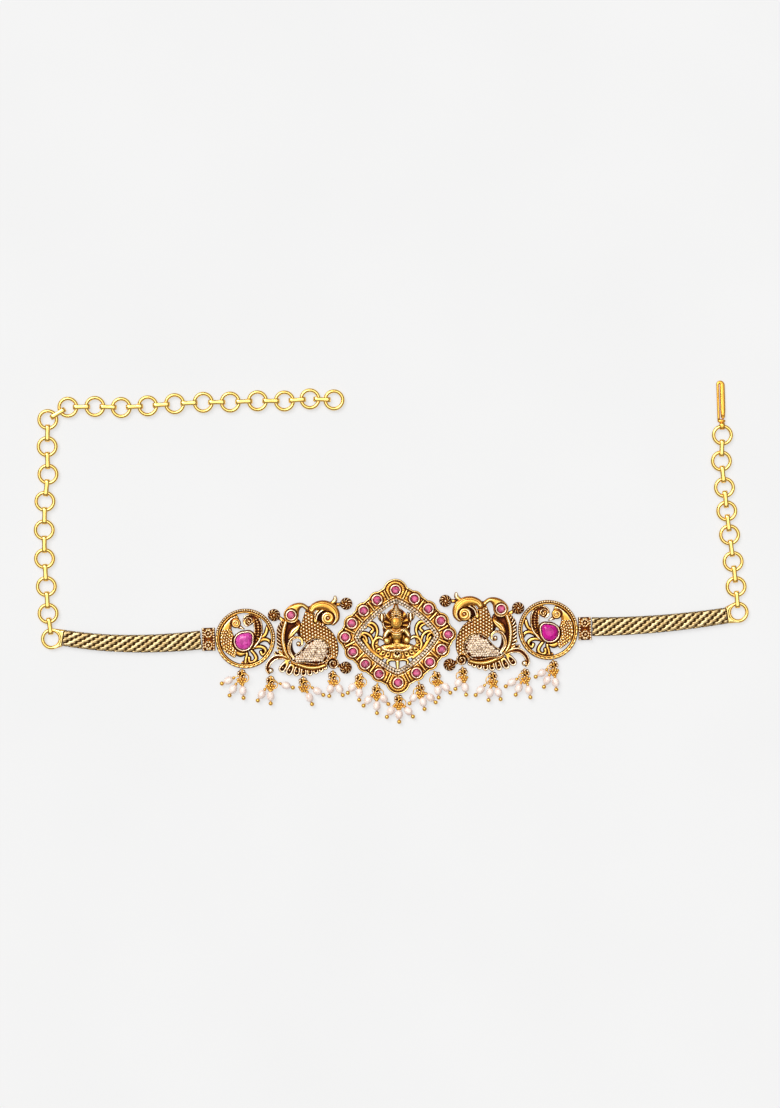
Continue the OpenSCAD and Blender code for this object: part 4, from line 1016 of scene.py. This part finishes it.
fx = np.abs(X)
lids = 0.1 * dome(np.hypot((fx - 0.58) / 0.36, (Y - EYE_Y) / 0.2))
lids -= 0.12 * bell((Y - EYE_Y + 0.12 - 0.25 * (fx - 0.58) ** 2) / 0.06) * (np.abs(fx - 0.58) < 0.36)
brow = 0.05 * bell((Y - EYE_Y - 0.42 + 0.5 * (fx - 0.6) ** 2) / 0.09) * (np.abs(fx - 0.62) < 0.46)
nose = 0.11 * bell(fx / 0.24) * np.clip((4.6 - Y) / 0.7, 0, 1) * (Y > 3.78)
lips = 0.07 * bell((np.abs(Y - MOUTH_Y) - 0.08) / 0.07) * (fx < 0.4 - 0.5 * np.abs(Y - MOUTH_Y))
add(np.hypot(X / 1.5, (Y - 4.25) / 1.8) < 1, lids + brow + nose + lips)
figure.H = np.minimum(figure.H, FIGURE_Z + 0.1)
piece("figure_cast", figure.arrays(roll=0.15, base=SEAT_Z), antique_gold, "seated_figure", crease=CREASE)

# %% [markdown]
# ## Tiny stones
# The white borders are pave: stones under a millimetre wide set edge to edge, with a gold grain pushed
# over them at each gap. The medallion has two rows that follow its window. On the peacocks they
# cover a swelling drop, so each stone is lifted by how deep it lies inside that drop.

# %% Tiny stones
PAVE_STEP, PAVE_ROWS = 0.9, (0.52, 1.32)  # from stone to stone, and how far outside the window they lie
PAVE_Z, GRAIN_Z = 1.66, 1.72              # heights of the border's stones and grains
GAP_X, GAP_Y = 0.74, 0.64                 # between columns and rows of stones on the peacocks


def round_ball(rows, columns, radius=1.0):
    """A ball: rings from pole to pole, closed by a point at each."""
    lift = np.linspace(-math.pi / 2, math.pi / 2, rows + 2)[1:-1, None]
    turn = np.arange(columns)[None] * 2 * np.pi / columns
    rings = np.stack([np.cos(lift) * np.cos(turn), np.cos(lift) * np.sin(turn), np.sin(lift) + 0 * turn], -1)
    return closed(rings * radius, [0, 0, -radius], [0, 0, radius])


def pave_rows(pitch, shifts):
    """Places a fixed step apart along each row round the window, started with that shift."""
    places = []
    for out, shift in zip(PAVE_ROWS, shifts):
        x, y = oval_rows(WINDOW[0] + out, WINDOW[1] + out, WINDOW_P, 2000).T
        gone = np.concatenate([[0], np.cumsum(np.hypot(np.diff(x), np.diff(y)))])
        n = int(gone[-1] / pitch)
        at = (np.arange(n) + shift) * gone[-1] / n
        places.append(np.column_stack([np.interp(at, gone, x), np.interp(at, gone, y)]))
    return np.concatenate(places)


def pave_piece(name, places, lifts, width, node_name):
    """Tiny stones at those places and heights, as one piece."""
    stone = cut_stone(6, width / 2, -0.3, 0.0, 0.26, 0.5)
    at = np.column_stack([places, lifts])
    piece(f"{name}_stones", repeated(stone, at, rng.uniform(0, 1, len(at)), rng.uniform(0.9, 1.06, len(at))),
          white_pave, node_name, smooth=False)


spots = pave_rows(PAVE_STEP, (0, 0.5))
pave_piece("medallion_pave", spots, np.full(len(spots), PAVE_Z), 0.76, "medallion_pave")
spots = pave_rows(PAVE_STEP, (0.5, 0.0))
grains = repeated(round_ball(4, 6, 0.13), np.column_stack([spots, np.full(len(spots), GRAIN_Z)]))
piece("medallion_grains", grains, antique_gold, worn=0.85)

gx, gy = np.meshgrid(np.arange(-33, -19, GAP_X), np.arange(-9, 1, GAP_Y), indexing="ij")
gx = gx + GAP_X / 2 * (np.round(gy / GAP_Y) % 2)
gx, gy = gx + rng.uniform(-0.05, 0.05, gx.shape), gy + rng.uniform(-0.05, 0.05, gy.shape)
ix, iy = (np.clip(((g - m[0, 0]) / bird.step).round().astype(int), 0, bird.X.shape[0] - 1)
          for g, m in ((gx, bird.X), (gy, bird.Y)))
deep = drop[ix, iy]
keep = deep > 0.17
body_places, body_lifts = np.column_stack([gx[keep], gy[keep]]), body_top(deep[keep]) + 0.12
for side, flip in (("left", [1, 1]), ("right", [-1, 1])):
    pave_piece(f"peacock_{side}_pave", body_places * flip, body_lifts, 0.8, f"peacock_{side}_pave")
    grain_at = np.column_stack([(body_places + [0.37, 0.14]) * flip, body_lifts + 0.02])
    piece(f"peacock_{side}_grains", repeated(round_ball(4, 6, 0.14), grain_at), antique_gold, worn=0.85)

# %% [markdown]
# ## Woven straps
# Each strap is a flat weave of long links in slanting rows, each link a pair of wires side by side.
# The links are laid out on a straight map first: a slanted lattice of stretched domes with a split
# down the middle. Then the map is bent along the strap's own curve, and the underside is the same
# weave turned over.

# %% Straps
STRAP_IN, STRAP_OUT, STRAP_T = 5.7, 4.8, 2.2
STRAPS = {"left": [[-58.8, 0.6], [-80.3, 0.1], [-100, 2.4]], "right": [[58.7, 1.2], [78.5, 1.5], [99.1, 3.4]]}
LINK_PITCH, ROW_PITCH = 2.68, 0.86        # along a row, and from row to row
ROW_SHIFT = 0.45                          # each row starts this share of a link further on
LINK_TILT, END_SLANT = 0.12, 0.3          # how a link rises along its row, and how its ends slant


def strap_points(line, t):
    """The parabola through three points at shares t, and its headings."""
    (p, q, r), t = np.asarray(line, float), t[:, None]
    at = p * (1 - t) * (1 - 2 * t) + q * 4 * t * (1 - t) + r * t * (2 * t - 1)
    slope = p * (4 * t - 3) + q * (4 - 8 * t) + r * (4 * t - 1)
    return at, np.arctan2(slope[:, 1], slope[:, 0])


def weave(X, Y):
    """Heights of 0 to 1 and tones of the links: each place has the highest link of the four near it."""
    top, tone = np.zeros_like(X), np.zeros_like(X)
    for dr, dl in ((0, 0), (0, 1), (1, 0), (1, 1)):
        row = np.floor(Y / ROW_PITCH) + dr
        link = np.floor(X / LINK_PITCH - ROW_SHIFT * row) + dl + ROW_SHIFT * row
        u, v = X - link * LINK_PITCH, Y - row * ROW_PITCH
        tall = np.clip(1 - np.abs((v - LINK_TILT * u) / (0.55 * ROW_PITCH)) ** 3, 0, 1)
        wide = np.clip(1 - np.abs((u - END_SLANT * v) / (0.46 * LINK_PITCH)) ** 4, 0, 1)
        split = bell((v - LINK_TILT * u) / 0.13)
        one = np.sqrt(tall * wide) * (1 - 0.3 * split)
        shade = 0.1 * np.sin(5.3 * row + 2.9 * (link - ROW_SHIFT * row)) - 0.16 * split
        tone = np.where(one > top, shade, tone)
        top = np.maximum(top, one)
    return top, tone


def woven_strap(line):
    """The weave on a straight map as long as the strap, bent along it; the back repeats the front."""
    shares = np.linspace(0, 1, 400)
    gone = np.concatenate([[0], np.cumsum(np.hypot(*np.diff(strap_points(line, shares)[0], axis=0).T))])
    length = gone[-1]
    flat = Relief((-0.3, -3.1), (length + 0.3, 3.1), 0.13)
    width = STRAP_IN + (STRAP_OUT - STRAP_IN) * flat.X / length
    inside = np.minimum(width / 2 - np.abs(flat.Y), np.minimum(flat.X, length - flat.X))
    top, tone = weave(flat.X, flat.Y)
    edge = np.sqrt(np.clip(1 - (np.abs(flat.Y) / (width / 2 + 0.05)) ** 6, 0, 1))
    scallop = 0.1 * (1 - np.clip(top * 1.6, 0, 1))
    flat.lay(STRAP_T / 2 + (0.3 + 0.8 * top) * edge, inside - scallop, tint=tone)
    points, groups, worn = flat.arrays(roll=0.1)
    n = len(points) // 2
    points[n:, 2] = STRAP_T - points[:n, 2]
    worn[n:] = worn[:n]
    at, turn = strap_points(line, np.interp(points[:, 0], gone, shares))
    x, y = at[:, 0] - np.sin(turn) * points[:, 1], at[:, 1] + np.cos(turn) * points[:, 1]
    return np.column_stack([x, y, points[:, 2]]), groups, worn


for side, line in STRAPS.items():
    piece(f"strap_{side}_weave", woven_strap(line), woven_gold, f"mesh_strap_{side}", crease=70)

# %% [markdown]
# ## Chains
# Each ring is drawn wire with two fine lines engraved round it, closed in a circle. The links between
# them are strips bent into long loops, a little narrower at the waist. Both are profiles carried
# along a path.

# %% Chain rings
RING_D, WIRE, STRIP_T, STRIP_W, CONNECTOR_IN = 6.3, 1.0, 0.35, 1.5, 4.6
RING_R = (RING_D - WIRE) / 2
STOUT = 1.12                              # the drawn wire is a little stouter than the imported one
ENGRAVED = 0.12                           # depth of the lines, as a share of the wire's radius
WIRE_Z = STRIP_T + 0.1 + WIRE / 2
CHAINS = {                                # the first ring's place, then a length and a heading for each
    "left": [(-103.7, 2.2), (7.7, 96), (8.1, 92), (8.4, 92), (8.6, 89), (8.6, 87), (8.2, 82), (8.3, 90),
             (8.1, 87), (7.1, 30), (8.1, 0), (7.9, -4), (8.0, 2), (8.1, 3), (8.6, 1), (8.1, -1), (8.2, 1),
             (8.1, -2), (7.7, 3), (7.2, -4)],
    "right": [(102.7, 4.3), (7.7, 93), (7.6, 95), (8.1, 96), (7.2, 95), (7.1, 94), (8.0, 95), (7.8, 86)],
}


def ring_shape(radius, wire, around, sides, engraved=0.0):
    """A wire of round section carried round a circle, with two fine grooves on its upper side."""
    section = np.arange(sides) * 2 * np.pi / sides
    lines = bell((section - math.radians(60)) / 0.16) + bell((section - math.radians(120)) / 0.16)
    r = wire / 2 * (1 - engraved * lines)
    turn = np.arange(around)[:, None] * 2 * np.pi / around
    out = radius + r * np.cos(section)
    points = np.stack([out * np.cos(turn), out * np.sin(turn), r * np.sin(section) + 0 * turn], -1)
    worn = np.broadcast_to(0.72 - 3 * engraved * lines, (around, sides)).ravel()
    return points.reshape(-1, 3), [grid_faces(around, sides, True)[:, ::-1]], worn


ring, ring_faces, ring_worn = ring_shape(RING_R, WIRE * STOUT, 44, 20, ENGRAVED)
chains = {}
for side, (start, *steps) in CHAINS.items():
    length, heading = np.array(steps, float).T
    moves = length * [np.cos(np.radians(heading)), np.sin(np.radians(heading))]
    chains[side] = np.concatenate([[start], np.asarray(start) + np.cumsum(moves.T, 0)])
    for k, (x, y) in enumerate(chains[side][1:], 1):
        piece(f"{side}_ring_{k}_wire", (ring + [x, y, WIRE_Z], ring_faces, ring_worn), polished_gold,
              f"{side}_ring_{k}")


# %% Strip links
def strip_loop(inner, waist=1.0):
    """A strip bent round a slot of that inner length: a rounded flat section carried round the slot."""
    h = WIRE + 0.2
    turn = np.linspace(-math.pi / 2, math.pi / 2, 11)
    r, straight = h / 2 + STRIP_T / 2, (inner - h) / 2
    right = np.column_stack([straight + r * np.cos(turn), r * np.sin(turn)])
    upper = np.column_stack([np.linspace(straight, -straight, 9)[1:-1], np.full(7, r)])
    path = np.concatenate([right, upper, -right, -upper])
    ahead = np.roll(path, -1, 0) - np.roll(path, 1, 0)
    ahead /= np.hypot(*ahead.T)[:, None]
    corner = np.radians(np.arange(0, 360, 45))
    a, b = (np.sign(f(corner)) * np.abs(f(corner)) ** 0.35 for f in (np.cos, np.sin))
    wide = STRIP_W / 2 * (1 - (1 - waist) * bell(path[:, 0] / (0.3 * inner)))
    px = path[:, :1] + ahead[:, 1:] * a * STRIP_T / 2
    pz = path[:, 1:] - ahead[:, :1] * a * STRIP_T / 2
    points = np.stack([px, wide[:, None] * b, pz + WIRE_Z], -1).reshape(-1, 3)
    return points, [grid_faces(len(path), 8, True)]


link = strip_loop(CONNECTOR_IN, 0.82)
for side, centres in chains.items():
    half_way, steps = (centres[1:] + centres[:-1]) / 2, np.diff(centres, axis=0)
    turns = np.arctan2(steps[:, 1], steps[:, 0])
    links = repeated(link, np.column_stack([half_way, 0 * turns]), turns)
    piece(f"{side}_links", links, polished_gold, f"{side}_connectors", worn=0.68)

# %% [markdown]
# Each strap ends in a smooth cap, soldered to the first ring.

# %% End caps
for side, line in STRAPS.items():
    ring_at = chains[side][0]
    (end,), (heading,) = strap_points(line, np.array([1.0]))
    out = np.array([math.cos(heading), math.sin(heading)])
    edge = end + 0.1 * out
    towards = (end - ring_at) / np.hypot(*(end - ring_at))
    plate = Relief(ring_at - 5, ring_at + 5, 0.1)
    from_edge, from_ring = ((plate.X - x) * ux + (plate.Y - y) * uy
                            for (x, y), (ux, uy) in ((edge, out), (ring_at, towards)))
    flare = plate.along([[*edge, STRAP_OUT], [*ring_at, RING_D]], margin=1.0)[3]
    off_ring = np.minimum(plate.disc(*ring_at)[0] - RING_R + 0.2, from_ring)
    body = np.minimum(np.minimum(flare, from_edge), off_ring)
    lip = 0.18 * mesa((from_edge - 0.3) / 0.2)
    plate.lay(1.15 + 0.5 * np.clip(body / 0.6, 0, 1) ** 0.5 + lip, body)
    points, groups, worn = plate.arrays(roll=0.3, base=0.15)
    cap = joined([(points, groups), (ring + [*ring_at, WIRE_Z], ring_faces)])
    piece(f"end_{side}_cap", (*cap, np.concatenate([worn + 0.1, ring_worn])), polished_gold,
          f"end_ring_{side}")

# %% [markdown]
# The short chain ends in the hook: one wire bent over on itself, thin on the way out and flattened
# on the way back, with its free end rounded. A strip loop holds it to the last ring.

# %% Hook
WIRE_R, HOOK_L, MOUTH = 0.45, 11.35, 1.5
THIN_LEG, WIDE_LEG = (-0.98, 0.9), (0.42, 1.75)   # each leg's place, and its width over the wire's
HOOK_TILT = math.radians(-2.3)            # the hook's far end hangs a little lower
EYE = 1.6                                 # inner length of its loop


def carried(path, radii, sides=14, across=1.0):
    """A round section of changing radius carried along a path, closed by a point at each end; it can be
    wider across the path, by the factor given for each place."""
    path = np.asarray(path, float)
    ahead = np.gradient(path, axis=0)
    ahead /= np.linalg.norm(ahead, axis=1)[:, None]
    side = np.cross(ahead, [0.0, 0.0, 1.0])
    side /= np.linalg.norm(side, axis=1)[:, None]
    up = np.cross(side, ahead)
    side = side * np.broadcast_to(across, len(path))[:, None]
    turn = (np.arange(sides) * 2 * np.pi / sides)[:, None]
    ring = np.cos(turn) * side[:, None] + np.sin(turn) * up[:, None]
    ring = ring * np.broadcast_to(radii, len(path))[:, None, None]
    return closed(path[:, None] + ring, path[0], path[-1], True)


arc = np.linspace(math.pi, 0, 15)
bar = np.linspace(0.5, HOOK_L, 10)[:-1]
back = np.linspace(HOOK_L, MOUTH, 10)[1:]
bend_x, bend_r = (THIN_LEG[0] + WIDE_LEG[0]) / 2, (WIDE_LEG[0] - THIN_LEG[0]) / 2
path = np.concatenate([np.column_stack([THIN_LEG[0] + 0 * bar, bar]),
                       np.column_stack([bend_x + bend_r * np.cos(arc), HOOK_L + bend_r * np.sin(arc)]),
                       np.column_stack([WIDE_LEG[0] - 0.1 * (HOOK_L - back) / HOOK_L, back])])
spread = np.interp(np.arange(len(path)), [0, len(bar), len(bar) + len(arc), len(path) - 3, len(path)],
                   [THIN_LEG[1], THIN_LEG[1], WIDE_LEG[1], WIDE_LEG[1], 1.2])
x, y = path.T
wire = carried(np.column_stack([x, y * math.cos(HOOK_TILT), y * math.sin(HOOK_TILT)]), WIRE_R, across=spread)
knob, knob_faces = round_ball(7, 14)
tip = knob * WIRE_R * 1.08 + [x[-1], y[-1], y[-1] * math.sin(HOOK_TILT)]
saddle = knob * [1.25, 0.6, 0.5] + [-0.15, 0.42, 0]
root = EYE / 2 + STRIP_T
loop, loop_faces = strip_loop(EYE)
loop = np.column_stack([-loop[:, 1], loop[:, 0] + 0.1 - root, loop[:, 2] - WIRE_Z])
points, groups = joined([wire, (tip, knob_faces), (saddle, knob_faces), (loop, loop_faces)])
last = chains["right"][-1]
piece("hook_wire", (points + [last[0], last[1] + RING_R + root, WIRE_Z], groups), polished_gold, "hook",
      worn=0.44)

# %% [markdown]
# ## Pearl drops
# Thirteen drops hang on the lower edge. Each is a flower of gold balls with a jump ring under it, and
# pins that fan out from the ring. A pin carries a gold bead, an oval pearl and a ball at its end.

# %% Drop tables
PEARL_D, PEARL_L, TIP_D, PIN_Z = 2.3, 2.9, 1.4, 1.25
DROPS = [       # x, y, the ring's direction and reach, and the pins' angles and lengths, left and right
    [-46.9, -10.0, 82, 1.7, [[-156, 4.4], [-121, 5.2], [-87, 5.0]], [[-149, 4.3], [-116, 5.0], [-86, 5.2]]],
    [-38.3, -12.2, 78, 1.6, [[-124, 4.9], [-91, 4.7], [-19, 4.9]], [[-148, 4.9], [-116, 4.9], [-80, 5.2]]],
    [-28.5, -12.8, 90, 1.5, [[-70, 5.1], [-35, 5.1]], [[-134, 5.5], [-102, 5.1], [-73, 5.1]]],
    [-19.6, -11.3, 84, 1.8, [[-101, 4.0], [-64, 4.4]], [[-116, 3.4], [-84, 4.7]]],
    [-11.6, -12.3, 63, 1.9, [[-130, 3.4], [-92, 4.3]], [[-86, 4.3], [-52, 4.3]]],
    [-6.6, -15.8, 77, 2.2, [[-130, 4.0], [-90, 4.9], [-52, 3.5]], [[-127, 3.4], [-80, 4.2], [-44, 4.1]]],
    [0, -18.9, 90, 1.6, [[-125, 4.2], [-90, 4.6], [-52, 4.6]], []],
]
GROUPS = {      # the rows of each group's drops; the second number is -1 for a mirrored row
    "roundel_left_drop": [(0, 1)], "peacock_left_drops": [(1, 1), (2, 1), (3, 1)],
    "medallion_drops": [(4, 1), (5, 1), (6, 1), (5, -1), (4, -1)],
    "peacock_right_drops": [(3, -1), (2, -1), (1, -1)], "roundel_right_drop": [(0, -1)],
}
CLUSTER = [     # place and height of the gold balls under a flower
    (-1.15, -1.6, 1.3), (-0.45, -1.5, 1.6), (0.45, -1.5, 1.6), (1.15, -1.6, 1.3), (-0.8, -2.25, 1.4),
    (0.0, -2.2, 1.8), (0.8, -2.25, 1.4), (-0.36, -2.85, 1.3), (0.36, -2.85, 1.3),
]
print(len(DROPS), "kinds of drop")

# %% Pearl drops
flower = Relief((-1.6, -1.6), (1.6, 1.6), 0.09)
r, turn = flower.disc(0, 0)
around = to_nearest(turn * 7 / (2 * np.pi)) * 2 * np.pi / 7 * 0.98
flower.lay(1.0 + 1.7 * ball(0.42, around, r - 0.98),
           np.maximum(0.47 - np.hypot(around, r - 0.98), 0.98 - r), tint=0.17)
flower.flat(0, 0, 0.5, 0.95, tint=-0.4)
flower.stud(0, 0, 1.0, 0.7, 0.26, trim=0)
cap, cap_faces, cap_worn = flower.arrays(roll=0.1, base=0.35)

jump, jump_faces, _ = ring_shape(1.3, 0.3, 24, 8)
bead, bead_faces = round_ball(5, 10)
lift = np.linspace(-1, 1, 13)
pearl = carried(np.column_stack([lift * PEARL_L / 2, 0 * lift, 0 * lift]),
                PEARL_D / 2 * np.maximum(np.clip(1 - np.abs(lift) ** 2.3, 0, 1) ** 0.5, 0.2), 18)


def drop_parts(row, hand):
    """The metal, the pearls and the metal's worn values of one drop, mirrored where hand is -1."""
    x, y, toward, reach, *pins = DROPS[row]
    x, toward = x * hand, math.radians(toward if hand == 1 else 180 - toward)
    centre, aim = np.array([x, y, 0]), np.array([math.cos(toward), math.sin(toward), 0])
    metal = [(cap + centre + [0, 0, 0.15], cap_faces),
             carried([centre + [0, 0, 1.2], centre + aim * (reach - 0.15) + [0, 0, 1.4]], [0.32, 0.3], 8),
             (jump + centre + [0.85 * hand, -1.15, 1.85], jump_faces)]
    metal += [(bead * 0.46 + centre + c, bead_faces) for c in CLUSTER]
    pearls = []
    for angle, far in pins[hand < 0]:
        aim = np.array([math.cos(math.radians(angle)), math.sin(math.radians(angle)), 0])
        start = centre + [0, 0, PIN_Z]
        end = far + PEARL_L / 2 + TIP_D / 2
        metal += [carried([start + aim, start + aim * end], 0.17, 8),
                  (bead * 0.5 + start + aim * (far - PEARL_L / 2 - 0.28), bead_faces),
                  (bead * TIP_D / 2 * 0.96 + start + aim * (end + 0.02), bead_faces)]
        pearls.append(repeated(pearl, [start + aim * far], math.radians(angle)))
    return metal, pearls, [cap_worn] + [np.full(len(m[0]), 0.63) for m in metal[1:]]


for name, rows in GROUPS.items():
    metal, pearls, worn = (sum(lists, []) for lists in zip(*(drop_parts(*row) for row in rows)))
    piece(f"{name}_gold", (*joined(metal), np.concatenate(worn)), antique_gold, name, crease=60)
    pearl_node = name.removesuffix("s") + "_pearls"
    piece(f"{pearl_node}_set", joined(pearls), pearl_skin, pearl_node)
